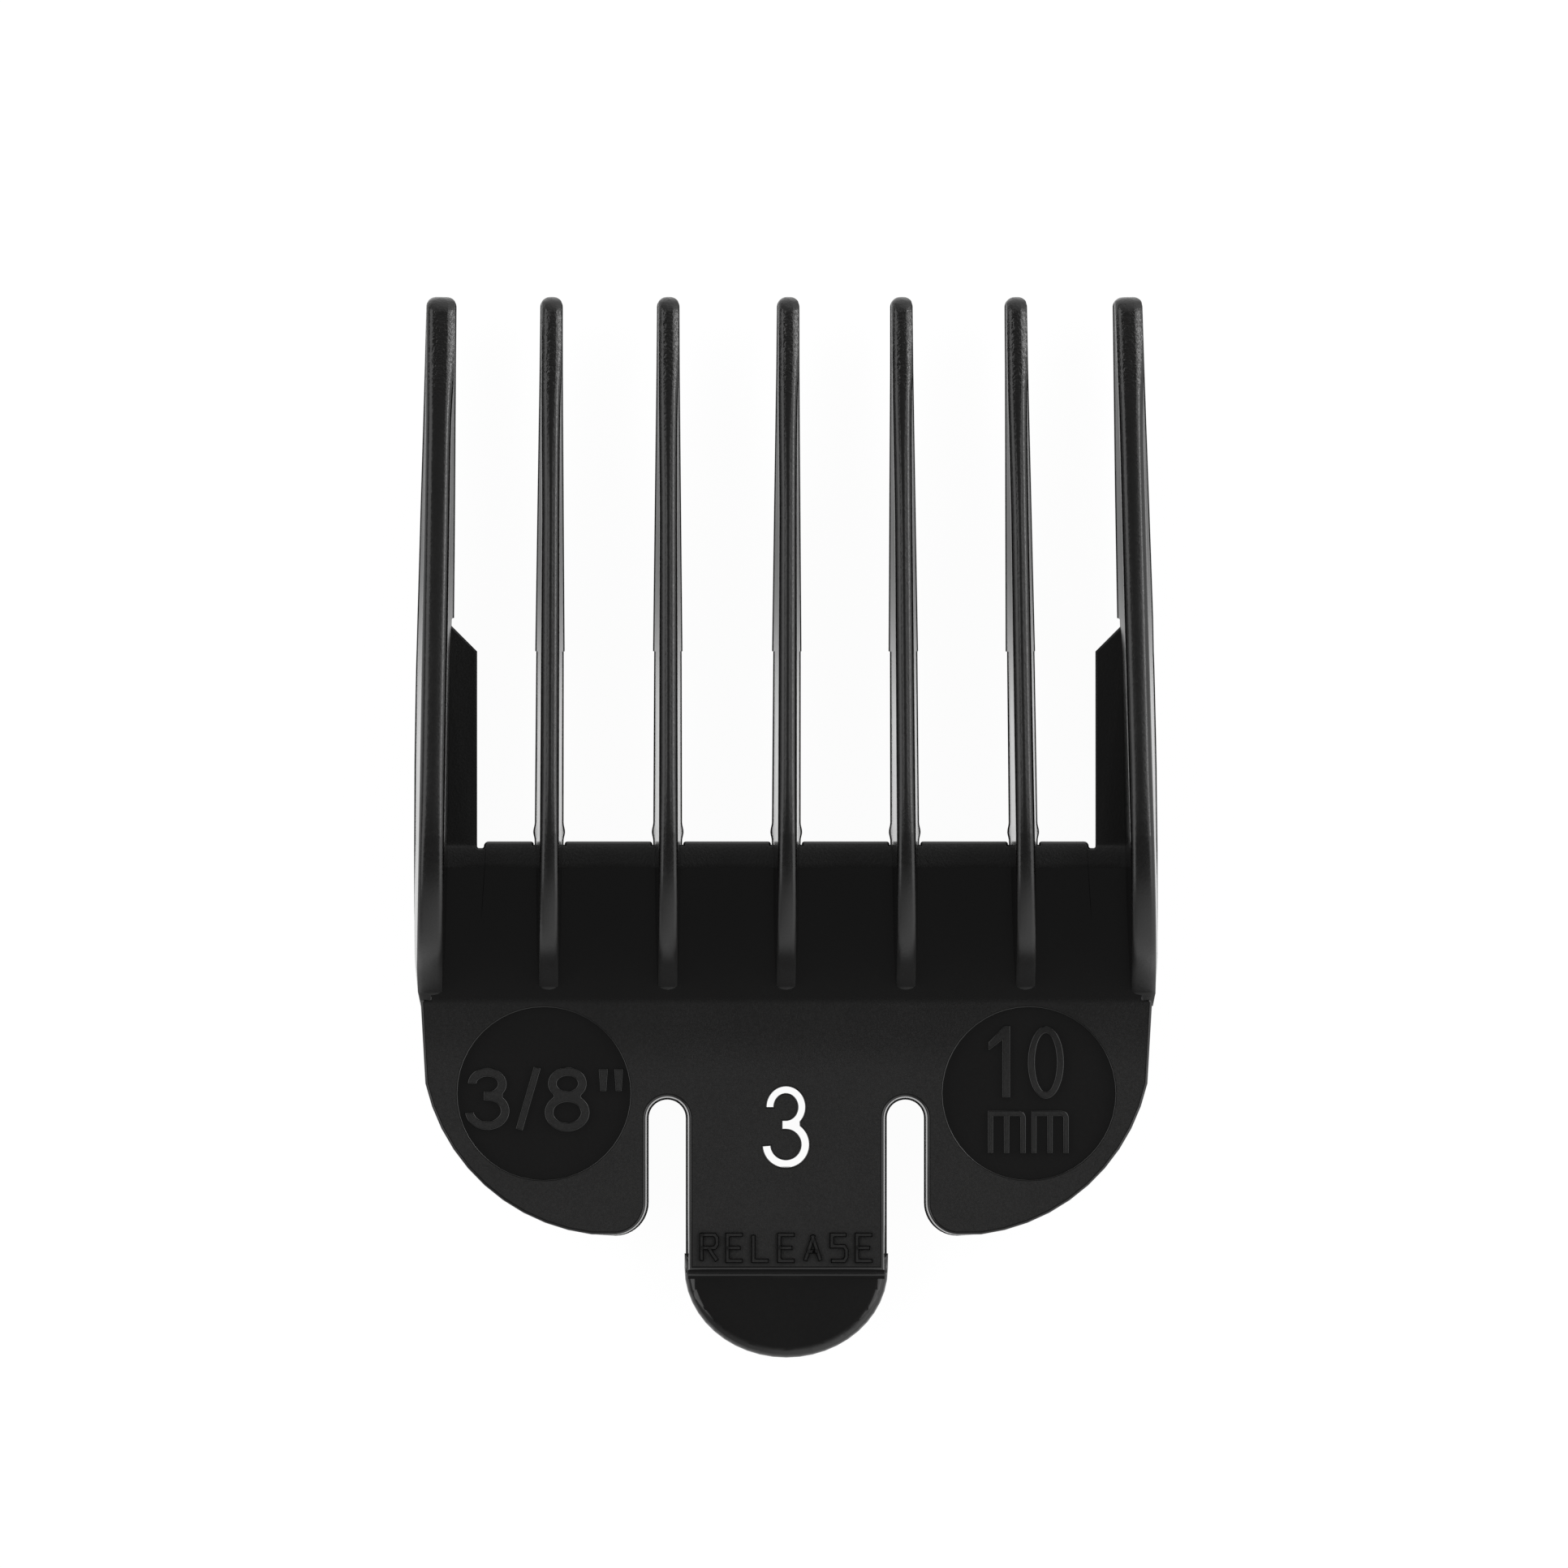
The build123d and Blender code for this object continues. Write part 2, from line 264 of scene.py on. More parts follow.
# ---------------------------------------------------------------- meshes
class Draft:
    """Vertices and faces of a closed shape, in millimetres."""

    def __init__(self) -> None:
        """Starts with nothing drawn."""
        self.vertices: list[Vector] = []
        self.faces: list[tuple[int, ...]] = []
        self.finishes: list[Face] = []

    def ring(self, points: Iterable[Sequence[float]]) -> list[int]:
        """Adds the points of a closed loop and returns their numbers."""
        first = len(self.vertices)
        self.vertices += [Vector(point) for point in points]
        return list(range(first, len(self.vertices)))

    def skin(self, outer: Sequence[int], inner: Sequence[int], finish: Face | Sequence[Face]) -> None:
        """Joins two loops of the same length by a band of quads.

        Args:
            outer: The loop on the right-hand side of the band's run.
            inner: The loop on its left-hand side.
            finish: One finish, or one for each quad.
        """
        count = len(outer)
        for index in range(count):
            after = (index + 1) % count
            self.faces.append((outer[index], outer[after], inner[after], inner[index]))
            self.finishes.append(finish if isinstance(finish, Face) else finish[index])

    def lid(self, loops: Sequence[Sequence[int]], upward: bool, finish: Face) -> None:
        """Closes a flat opening, which may have holes, with triangles.

        Args:
            loops: The opening's outer loop and the loops of its holes.
            upward: Whether the lid faces up.
            finish: The lid's finish.
        """
        numbers = [number for loop in loops for number in loop]
        flat = [self.vertices[number].to_2d() for number in numbers]
        edges, first = [], 0
        for loop in loops:
            edges += [(first + i, first + (i + 1) % len(loop)) for i in range(len(loop))]
            first += len(loop)
        points, _, triangles, sources, _, _ = delaunay_2d_cdt(flat, edges, [], 0, 1e-7)
        outlines = [[self.vertices[number].to_2d() for number in loop] for loop in loops]
        for triangle in triangles:
            middle = sum((points[i] for i in triangle), Vector((0, 0))) / 3
            if sum(encloses(outline, middle) for outline in outlines) % 2:
                face = tuple(numbers[sources[i][0]] for i in triangle)
                self.faces.append(face if upward else face[::-1])
                self.finishes.append(finish)

    def cap(self, loop: Sequence[int], finish: Face) -> None:
        """Closes one end with a single face."""
        self.faces.append(tuple(loop))
        self.finishes.append(finish)

    def turned(self, matrix: Matrix) -> "Draft":
        """Moves every vertex by a matrix and returns the draft."""
        self.vertices = [matrix @ vertex for vertex in self.vertices]
        return self

    def solid(self, name: str) -> bpy.types.Object:
        """Makes a Blender object of the draft, still in millimetres.

        Args:
            name: The object's name.

        Returns:
            The object, with every finish in its material slots.
        """
        mesh = bpy.data.meshes.new(name)
        mesh.from_pydata([tuple(v) for v in self.vertices], [], self.faces)
        for finish in Face:
            mesh.materials.append(FINISHES[finish].material())
        mesh.polygons.foreach_set("material_index", [int(finish) for finish in self.finishes])
        mesh.validate()
        thing = bpy.data.objects.new(name, mesh)
        bpy.context.scene.collection.objects.link(thing)
        return thing


@dataclass
class Slab:
    """A flat plate with rounded rims, holes through it and pockets in its top."""

    bottom: float
    top: float
    foot_radius: float = 0.12
    face: Face = Face.POLISHED
    side: Face = Face.POLISHED
    rim_radius: Callable[[Vector], float] = lambda point: 0.16
    lean: Callable[[Vector], float] = lambda point: 0.0
    ledge: float = 0.3
    ledge_share: float = 0.37
    guard: float = 0.03

    def _rings(
        self, draft: Draft, outline: Sequence[Vector], floor: float | None
    ) -> tuple[list[int], list[int]]:
        """Draws one wall of the plate, from its top face down.

        Args:
            draft: The draft to draw in.
            outline: The wall's outline, with the material on its left.
            floor: Height of the pocket's floor, or None for a wall that goes through.

        Returns:
            The loops on the top face and at the wall's lower end.
        """
        radii = [self.rim_radius(point) for point in outline]
        leans = [self.lean(point) if floor is None else 0.0 for point in outline]
        walls = list(zip(radii, leans, strict=True))
        levels = [([r + self.guard + lean for r, lean in walls], [self.top] * len(radii))]
        for step in range(ROUND_STEPS + 1):
            turn = step * pi / 2 / ROUND_STEPS
            across = [lean + r * (1 - sin(turn)) for r, lean in walls]
            levels.append((across, [self.top - r * (1 - cos(turn)) for r in radii]))
        levels.append(([lean * 0.97 for lean in leans], [self.top - r - self.guard for r in radii]))
        if floor is None:
            low = self.foot_radius
            shelf = self.bottom + max(self.ledge, low + 2 * self.guard)
            levels.append(([lean * self.ledge_share for lean in leans], [shelf] * len(radii)))
            levels.append(([0.0] * len(radii), [shelf - 0.006] * len(radii)))
            levels.append(([0.0] * len(radii), [self.bottom + low + self.guard] * len(radii)))
            for step in range(ROUND_STEPS + 1):
                turn = step * pi / 2 / ROUND_STEPS
                inward, height = low * (1 - cos(turn)), self.bottom + low * (1 - sin(turn))
                levels.append(([inward] * len(radii), [height] * len(radii)))
            levels.append(([low + self.guard] * len(radii), [self.bottom] * len(radii)))
        else:
            levels.append(([0.0] * len(radii), [floor] * len(radii)))
        rings = [
            draft.ring((p.x, p.y, z) for p, z in zip(inset(outline, distances), heights, strict=True))
            for distances, heights in levels
        ]
        for upper, lower in zip(rings, rings[1:]):
            draft.skin(lower, upper, self.side)
        return rings[0], rings[-1]

    def draw(
        self,
        outline: Sequence[Vector],
        holes: Sequence[Sequence[Vector]] = (),
        pockets: Sequence[tuple[Sequence[Vector], float]] = (),
    ) -> Draft:
        """Draws the plate.

        Args:
            outline: Its outline, anticlockwise.
            holes: Outlines that go through it, clockwise.
            pockets: Outlines cut into its top, clockwise, each with its depth.

        Returns:
            A closed draft.
        """
        draft = Draft()
        walls = [self._rings(draft, shape, None) for shape in (outline, *holes)]
        cuts = [self._rings(draft, shape, self.top - depth) for shape, depth in pockets]
        draft.lid([upper for upper, _ in walls + cuts], True, self.face)
        draft.lid([lower for _, lower in walls], False, Face.POLISHED)
        for _, floor in cuts:
            draft.lid([floor], True, Face.POLISHED)
        return draft


def combine(target: bpy.types.Object, operation: str, tools: Iterable[bpy.types.Object]) -> bpy.types.Object:
    """Joins, cuts or trims a closed shape with others, which are used up.

    Args:
        target: The shape to change.
        operation: UNION, DIFFERENCE or INTERSECT.
        tools: The other shapes.

    Returns:
        The changed shape.
    """
    for tool in tools:
        before = len(target.data.polygons)
        modifier = target.modifiers.new("combine", "BOOLEAN")
        modifier.operation = operation
        modifier.solver = "MANIFOLD"
        modifier.object = tool
        with bpy.context.temp_override(object=target, active_object=target, selected_objects=[target]):
            bpy.ops.object.modifier_apply(modifier=modifier.name)
        if len(target.data.polygons) == before:
            raise ValueError(f"{target.name} could not be combined with {tool.name}")
        bpy.data.objects.remove(tool)
    return target


def twin(source: bpy.types.Object, name: str) -> bpy.types.Object:
    """Copies an object with its mesh."""
    copy = source.copy()
    copy.data = source.data.copy()
    copy.name = copy.data.name = name
    bpy.context.scene.collection.objects.link(copy)
    return copy


def reshape(
    thing: bpy.types.Object,
    cuts: Iterable[tuple[int, float]],
    lift: Callable[[Vector], float] | None = None,
) -> None:
    """Divides a mesh along flat cuts and moves its vertices up or down.

    Args:
        thing: The object.
        cuts: The axis that each cut is square to, 0 or 1, and its place.
        lift: How far a vertex rises, or None to leave the shape as it is.
    """
    mesh = bmesh.new()
    mesh.from_mesh(thing.data)
    for axis, place in cuts:
        normal = Vector((axis == 0, axis == 1, 0))
        bmesh.ops.bisect_plane(
            mesh,
            geom=[*mesh.verts, *mesh.edges, *mesh.faces],
            dist=1e-5,
            plane_co=normal * place,
            plane_no=normal,
        )
    if lift:
        for vertex in mesh.verts:
            vertex.co.z += lift(vertex.co)
    mesh.to_mesh(thing.data)
    mesh.free()


def finish_mesh(thing: bpy.types.Object) -> None:
    """Cleans a final mesh, smooths it up to its crisp edges and scales it to metres."""
    mesh = bmesh.new()
    mesh.from_mesh(thing.data)
    loose = [vertex for vertex in mesh.verts if not vertex.link_faces]
    bmesh.ops.delete(mesh, geom=loose, context="VERTS")
    open_edges = sum(len(edge.link_faces) != 2 for edge in mesh.edges)
    log.info("%s: %d faces, %d open edges", thing.name, len(mesh.faces), open_edges)
    for edge in mesh.edges:
        angle = edge.calc_face_angle(0.0)
        grained = sum(face.material_index == Face.GRAINED for face in edge.link_faces)
        edge.smooth = angle < (GRAIN_ANGLE if grained == 1 else SHARP_ANGLE)
    for face in mesh.faces:
        face.smooth = True
    mesh.to_mesh(thing.data)
    mesh.free()
    thing.data.transform(Matrix.Scale(MM, 4))
    thing.data.update()


# ---------------------------------------------------------------- shader maths
class Value:
    """A shader socket that takes part in Python arithmetic."""

    def __init__(self, graph: "Graph", socket: bpy.types.NodeSocket) -> None:
        """Wraps an output socket of a graph."""
        self.graph = graph
        self.socket = socket

    def _maths(self, operation: str, *terms: "Value | float") -> "Value":
        """Adds a Math node on this value and others."""
        node = self.graph.node("ShaderNodeMath", {"operation": operation}, dict(enumerate(terms)))
        return Value(self.graph, node.outputs[0])

    def __add__(self, other: "Value | float") -> "Value":
        """This plus other."""
        return self._maths("ADD", self, other)

    __radd__ = __add__

    def __sub__(self, other: "Value | float") -> "Value":
        """This less other."""
        return self._maths("SUBTRACT", self, other)

    def __rsub__(self, other: float) -> "Value":
        """Other less this."""
        return self._maths("SUBTRACT", other, self)

    def __mul__(self, other: "Value | float") -> "Value":
        """This times other."""
        return self._maths("MULTIPLY", self, other)

    __rmul__ = __mul__

    def __or__(self, other: "Value | float") -> "Value":
        """The larger of the two."""
        return self._maths("MAXIMUM", self, other)

    __ror__ = __or__

    def ease(self, low: float, high: float, start: float = 0.0, end: float = 1.0) -> "Value":
        """Maps this value smoothly from one range to another.

        Args:
            low: Value that gives start.
            high: Value that gives end.
            start: Result at and before low.
            end: Result at and after high.

        Returns:
            The mapped value.
        """
        terms = {"Value": self, "From Min": low, "From Max": high, "To Min": start, "To Max": end}
        node = self.graph.node("ShaderNodeMapRange", {"interpolation_type": "SMOOTHSTEP"}, terms)
        return Value(self.graph, node.outputs[0])


class Graph:
    """Nodes of one material or of the world."""

    def __init__(self, tree: bpy.types.NodeTree) -> None:
        """Empties a node tree to build in."""
        self.tree = tree
        tree.nodes.clear()

    def node(
        self, kind: str, settings: dict[str, object] | None = None, sockets: dict | None = None
    ) -> bpy.types.Node:
        """Adds a node of any type.

        Args:
            kind: The node's type.
            settings: Its own properties, set first.
            sockets: Values or links for its inputs, by name or number.

        Returns:
            The node.
        """
        made = self.tree.nodes.new(kind)
        for name, setting in (settings or {}).items():
            if name == "stops":
                for index, (place, colour) in enumerate(setting):
                    stops = made.color_ramp.elements
                    stop = stops[index] if index < len(stops) else stops.new(place)
                    stop.position, stop.color = place, (*colour, 1.0)
            else:
                setattr(made, name, setting)
        for name, value in (sockets or {}).items():
            if isinstance(value, (Value, bpy.types.NodeSocket)):
                self.tree.links.new(getattr(value, "socket", value), made.inputs[name])
            else:
                made.inputs[name].default_value = value
        return made

    def value(
        self, kind: str, output: str | int, settings: dict | None = None, sockets: dict | None = None
    ) -> Value:
        """Adds a node and wraps one of its outputs."""
        return Value(self, self.node(kind, settings, sockets).outputs[output])

    def show(self, output: str, plain: bpy.types.Node, shown: bpy.types.Node) -> None:
        """Ends the graph with one shader for rays that light others and one for rays that show it."""
        ends = {0: self.seen(), 1: plain.outputs[0], 2: shown.outputs[0]}
        mixed = self.node("ShaderNodeMixShader", None, ends)
        self.node(output, None, {"Surface": mixed.outputs[0]})

    def seen(self) -> Value:
        """One on rays that show this surface, directly or in a gloss, and zero on the others."""
        rays = self.node("ShaderNodeLightPath").outputs
        seen = Value(self, rays["Is Camera Ray"]) | Value(self, rays["Is Glossy Ray"])
        return seen | Value(self, rays["Is Transmission Ray"])

    def noise(self, place: bpy.types.NodeSocket, size: float, detail: float = 2.0, seed: float = 0.0) -> Value:
        """Noise whose features are about a size, in millimetres.

        Args:
            place: Position on the object, in metres.
            size: Size of a feature.
            detail: Octaves of finer noise.
            seed: Fourth coordinate, which picks the pattern.

        Returns:
            The noise, from 0 to 1 about 0.5.
        """
        sockets = {"Vector": place, "W": seed, "Scale": 1 / (size * MM), "Detail": detail, "Roughness": 0.6}
        return self.value("ShaderNodeTexNoise", "Fac", {"noise_dimensions": "4D"}, sockets)


@dataclass(frozen=True)
class Run:
    """A stretch of the comb over which a level rises from nothing, and from which on it stays."""

    start: float
    end: float
    rise: float


@dataclass(frozen=True)
class Plastic:
    """Black moulded plastic of one surface."""

    name: str
    colour: tuple[float, float, float]
    roughness: float
    grain_size: float
    grain_depth: float
    grain_gloss: float
    rough_runs: tuple[Run, ...] = ()
    grain: float = 1.0
    grain_runs: tuple[Run, ...] = ()
    grain_roughness: float = 0.0
    cloud_size: float = 4.0
    cloud_gloss: float = 0.06
    shade: float = 0.14
    ior: float = 1.5

    def material(self) -> bpy.types.Material:
        """Gives this finish's material, made the first time it is asked for."""
        return bpy.data.materials.get(self.name) or self._make()

    def _make(self) -> bpy.types.Material:
        """Builds the material's nodes.

        Returns:
            The material.
        """
        made = bpy.data.materials.new(self.name)
        made.use_nodes = True
        graph = Graph(made.node_tree)
        place = graph.node("ShaderNodeTexCoord").outputs["Object"]
        length = graph.value("ShaderNodeSeparateXYZ", "Y", None, {0: place}) * (1 / MM)
        grain = graph.noise(place, self.grain_size, detail=1.5, seed=1.0)
        cloud = graph.noise(place, self.cloud_size, detail=3.0, seed=2.0)
        amount: Value | float = self.grain
        for run in self.grain_runs:
            amount = amount + length.ease(run.start, run.end, 0.0, run.rise)
        rough: Value | float = self.roughness
        if self.grain_roughness:
            rough = rough + amount * self.grain_roughness
        for run in self.rough_runs:
            rough = rough + length.ease(run.start, run.end, 0.0, run.rise)
        rough = rough + (grain - 0.5) * self.grain_gloss * amount + (cloud - 0.5) * self.cloud_gloss
        mixed = {"Factor": 0.5, "A": cloud, "B": grain}
        shade = graph.value("ShaderNodeMix", "Result", {"data_type": "FLOAT"}, mixed).ease(0.3, 0.7)
        low, high = ([channel * share for channel in self.colour] for share in (1 - self.shade, 1 + self.shade))
        tints = {"Factor": shade, "A": (*low, 1.0), "B": (*high, 1.0)}
        tint = graph.node("ShaderNodeMix", {"data_type": "RGBA"}, tints).outputs[2]
        relief = {"Strength": 1.0, "Distance": self.grain_depth * MM, "Height": grain * amount}
        normal = graph.node("ShaderNodeBump", None, relief).outputs["Normal"]
        sockets = {"Base Color": tint, "Roughness": rough, "IOR": self.ior, "Normal": normal}
        shader = graph.node("ShaderNodeBsdfPrincipled", None, sockets)
        graph.node("ShaderNodeOutputMaterial", None, {"Surface": shader.outputs[0]})
        return made


FINISHES = {
    Face.POLISHED: Plastic(
        name="polished_black_plastic",
        colour=(0.0042, 0.004, 0.0039),
        roughness=0.16,
        grain_size=0.25,
        grain_depth=0.0006,
        grain_gloss=0.05,
        rough_runs=(Run(5.0, 18.0, 0.36),),
    ),
    Face.GRAINED: Plastic(
        name="grained_black_plastic",
        colour=(0.0036, 0.0034, 0.0032),
        roughness=0.16,
        grain_size=0.12,
        grain_depth=0.014,
        grain_gloss=0.2,
        rough_runs=(Run(-12.0, -15.0, 0.07),),
        grain=0.0,
        grain_runs=(Run(-7.5, -10.2, 0.2), Run(-10.2, -10.7, 0.8), Run(-2.5, -2.4, 0.9)),
        grain_roughness=0.21,
    ),
    Face.RIDGE: Plastic(
        name="ridge_black_plastic",
        colour=(0.004, 0.0038, 0.0037),
        roughness=0.15,
        grain_size=0.15,
        grain_depth=0.009,
        grain_gloss=0.15,
        rough_runs=(Run(30.0, 6.0, 0.09), Run(-1.0, -5.0, 0.16), Run(-7.5, -9.3, 0.25)),
        grain_runs=(Run(25.5, 27.5, 2.0),),
    ),
}


# ---------------------------------------------------------------- the comb
def span(node: str) -> tuple[Vector, Vector]:
    """Lowest and highest corners of a CAD node, in millimetres."""
    low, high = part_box(node)
    return low / MM, high / MM


@dataclass(frozen=True)
class Datum:
    """Levels and lines of the comb, taken from its CAD solids."""

    seat: float
    plate_top: float
    web_top: float
    front: float
    base_front: float
    tip: float
    stop_level: float
    step: float
    end: float
    lip_bottom: float
    lip_top: float

    @classmethod
    def read(cls) -> "Datum":
        """Reads the levels and lines from the frame."""
        web_low, web_high = span("comb_web")
        _, base_high = span("base_plate")
        tooth_low, tooth_high = span("tooth_3")
        lip_low, lip_high = span("thumb_lip")
        return cls(
            seat=web_low.z,
            plate_top=base_high.z,
            web_top=web_high.z,
            front=web_high.y,
            base_front=base_high.y,
            tip=tooth_high.y,
            stop_level=tooth_low.z,
            step=lip_high.y,
            end=lip_low.y,
            lip_bottom=lip_low.z,
            lip_top=lip_high.z,
        )


@dataclass(frozen=True)
class Flank:
    """One side of a tooth, along its length."""

    ridge: Line
    foot: Line
    shoulder: Line
    depth: Line = ((0.0, 1.0), (1.0, 1.0))
    bevel: Line = ((0.0, 0.0), (1.0, 0.0))


@dataclass
class Tooth:
    """One tapered tooth: a drafted rib with a rounded ridge, a crest and a ramp at its root."""

    name: str
    datum: Datum
    root: float
    tip: float
    left: Flank = Flank(
        ridge=((0.0, 0.575), (20.0, 0.54), (27.0, 0.61), (32.0, 0.61)),
        foot=((0.0, 0.925), (11.0, 0.9), (20.3, 0.8), (28.5, 0.7), (32.5, 0.67)),
        shoulder=((-2.0, 0.32), (4.0, 0.44), (20.0, 0.42), (28.0, 0.4)),
    )
    right: Flank = Flank(
        ridge=((0.0, 0.575), (20.0, 0.56), (26.6, 0.58), (28.4, 0.63), (32.0, 0.62)),
        foot=((0.0, 0.915), (11.0, 0.9), (20.3, 0.8), (28.5, 0.71), (32.5, 0.69)),
        shoulder=((-2.0, 0.32), (4.0, 0.44), (24.0, 0.42), (28.4, 0.34)),
        depth=((26.0, 1.0), (28.4, 0.42)),
        bevel=((26.0, 0.0), (28.4, 0.8)),
    )
    crown: float = 0.02
    crest_setback: float = 5.3
    crest_height: float = 16.28
    crest_radius: float = 7.1
    foot_setback: float = 8.8
    foot_radius: float = 0.3
    foot_dip: float = 0.06
    tip_top: float = 4.4
    tip_radius: float = 1.4
    tip_corner: float = 0.6
    rear: float = -9.7
    stop: float = 11.45
    seam: float = 0.07
    seam_height: float = 0.16
    root_swell: float = 0.09
    swell_run: float = 1.15
    swell_top: float = 6.5
    tip_gap: float = 0.002
    foot_round: float = 0.1
    wall_half: float = 0.725
    wall: Line = ()
    wall_side: int = 0

    @property
    def reach(self) -> float:
        """Length from the plate's front edge to the tip."""
        return self.datum.tip - self.datum.front - self.tip_gap

    def _ridge_line(self) -> list[Vector]:
        """Side view of the ridge, from the rear end to the tip's foot."""
        level = self.datum.plate_top
        return rounded(
            [
                Corner(self.rear, level - self.foot_dip),
                Corner(-self.foot_setback, level - 0.02, self.foot_radius),
                Corner(-self.crest_setback, self.crest_height, self.crest_radius),
                Corner(self.reach, self.tip_top, self.tip_radius),
                Corner(self.reach, self.datum.stop_level + 0.4),
            ],
            closed=False,
        )

    def _stations(self) -> list[tuple[float, float]]:
        """Places along the tooth where its section is drawn, with the ridge's height there."""
        line = self._ridge_line()
        extra = [-0.62, -0.6, 0.1, 0.25, 0.4, 0.55, 0.7, 0.85, 1.0, 1.15, self.stop, self.stop + 0.02]
        extra += [point for place, _ in self.wall for point in (place, place + 0.02)][:-1]
        extra += [self.reach - self.tip_corner * (1 - sin(radians(a))) for a in (0, 20, 40, 55, 68, 80, 86)]
        extra += [1.5 * step for step in range(2, int(self.reach / 1.5))]
        ends = [index for index, point in enumerate(line) if point.x >= self.reach - 1e-3]
        line = line[: ends[0] + 1]
        stations = [(point.x, point.y) for point in line]
        for place in extra:
            for before, after in zip(line, line[1:]):
                if before.x + 1e-3 < place < after.x - 1e-3:
                    share = (place - before.x) / (after.x - before.x)
                    stations.append((place, before.y + share * (after.y - before.y)))
        return sorted(stations)

    def _bottom(self, place: float) -> float:
        """Height of the underside at a place along the tooth."""
        if self.wall:
            return along(self.wall, place)
        if place < -0.61:
            return self.datum.seat + 0.5
        return self.datum.seat if place <= self.stop else self.datum.stop_level

    def _slope(self, place: float, flank: Flank) -> float:
        """How far a flank leans out for each millimetre down; on the ramp, as at the plate's front edge."""
        place = max(place, 0.0)
        share = (place + self.crest_setback) / (self.reach + self.crest_setback)
        height = self.crest_height + (self.tip_top - self.crest_height) * share - 0.4
        bottom = along(self.wall, place) if self.wall else self.datum.stop_level
        return (along(flank.foot, place) - self.seam - along(flank.ridge, place)) / (height - bottom)

    def _half_section(self, place: float, top: float, flank: Flank, walled: bool) -> list[tuple[float, float]]:
        """One side of the section, from its middle at the top to its middle at the bottom.

        Args:
            place: Place along the tooth.
            top: Height of the ridge there.
            flank: The side's widths.
            walled: Whether a side wall with an upright face stands under this flank.

        Returns:
            Distances from the middle line, with their heights.
        """
        bottom = self._bottom(place)
        slope = self._slope(place, flank)
        limit = along(flank.foot, place) + self.root_swell
        beyond = place - (self.reach - self.tip_corner)
        if beyond > 0:
            limit = along(flank.foot, place) - self.tip_corner + sqrt(max(self.tip_corner**2 - beyond**2, 0))
        swell = self.root_swell * sin(pi * min(max(place, 0), self.swell_run) / self.swell_run) ** 2
        half = min(along(flank.ridge, place), limit)
        radius = min(along(flank.shoulder, place), half * 0.92)
        depth = radius * along(flank.depth, place)
        bevel = along(flank.bevel, place)
        flat = half - radius
        section = [(0.0, top), (flat * 0.5, top - self.crown * 0.25), (flat * 0.9, top - self.crown * 0.8)]
        for step in range(SHOULDER_STEPS):
            share = step / (SHOULDER_STEPS - 1)
            turn = (pi / 2 - slope) * share
            across = sin(turn) + bevel * (share - sin(turn))
            down = 1 - cos(turn) + bevel * (share - 1 + cos(turn))
            section.append((half - radius * (1 - across), top - self.crown - depth * down))
        corner = section[-1][1]
        low = self.foot_round
        ledge = max(self.datum.seat, bottom + 0.6)
        heights = [corner - (corner - bottom) * share for share in (0.04, 0.33, 0.62)]
        heights = [max(height, bottom + 0.9 - 0.1 * index) for index, height in enumerate(heights)]

        def side(height: float, extra: float = 0.0) -> tuple[float, float]:
            """A point on the flank, no further out than the rounded tip lets it be."""
            swollen = swell if height < self.swell_top else 0.0
            return (min(half + (corner - height) * slope + extra + swollen, limit), height)

        section += [side(height) for height in heights]
        seam = bottom + self.seam_height
        if walled:
            section += [side(max(ledge, seam + 0.12)), (self.wall_half, max(ledge - 0.02, seam + 0.08))]
            section += [(self.wall_half, seam), (self.wall_half, seam - 0.006), (self.wall_half, bottom + low)]
            outer = self.wall_half
        else:
            section += [side(seam + 0.12), side(seam + 0.06), side(seam)]
            section += [side(seam - 0.006, self.seam), side(bottom + low, self.seam)]
            outer = section[-1][0]
        for step in range(1, ROUND_STEPS):
            turn = radians(90 * step / (ROUND_STEPS - 1))
            section.append((max(outer - low * (1 - cos(turn)), 0.01), bottom + low * (1 - sin(turn))))
        return section

    def draw(self) -> Draft:
        """Draws the tooth in the comb's own axes.

        Returns:
            A closed draft.
        """
        draft = Draft()
        rings = []
        for place, top in self._stations():
            walled = bool(self.wall) and place <= self.wall[-1][0]
            right = self._half_section(place, top, self.right, walled and self.wall_side > 0)
            left = self._half_section(place, top, self.left, walled and self.wall_side < 0)
            loop = [(-x, place, z) for x, z in left] + [(x, place, z) for x, z in right[:0:-1]]
            rings.append(draft.ring(loop))
        count = len(rings[0])
        crest = SHOULDER_STEPS + 2
        bands = [Face.RIDGE if min(i, count - 1 - i) < crest else Face.POLISHED for i in range(count)]
        for near, far in zip(rings, rings[1:]):
            draft.skin(far, near, bands)
        draft.cap(rings[0], Face.POLISHED)
        draft.cap(rings[-1][::-1], Face.POLISHED)
        lean = atan2(self.root - self.tip, self.reach)
        start = Matrix.Translation((self.root, self.datum.front, 0))
        return draft.turned(start @ Matrix.Rotation(lean, 4, "Z"))


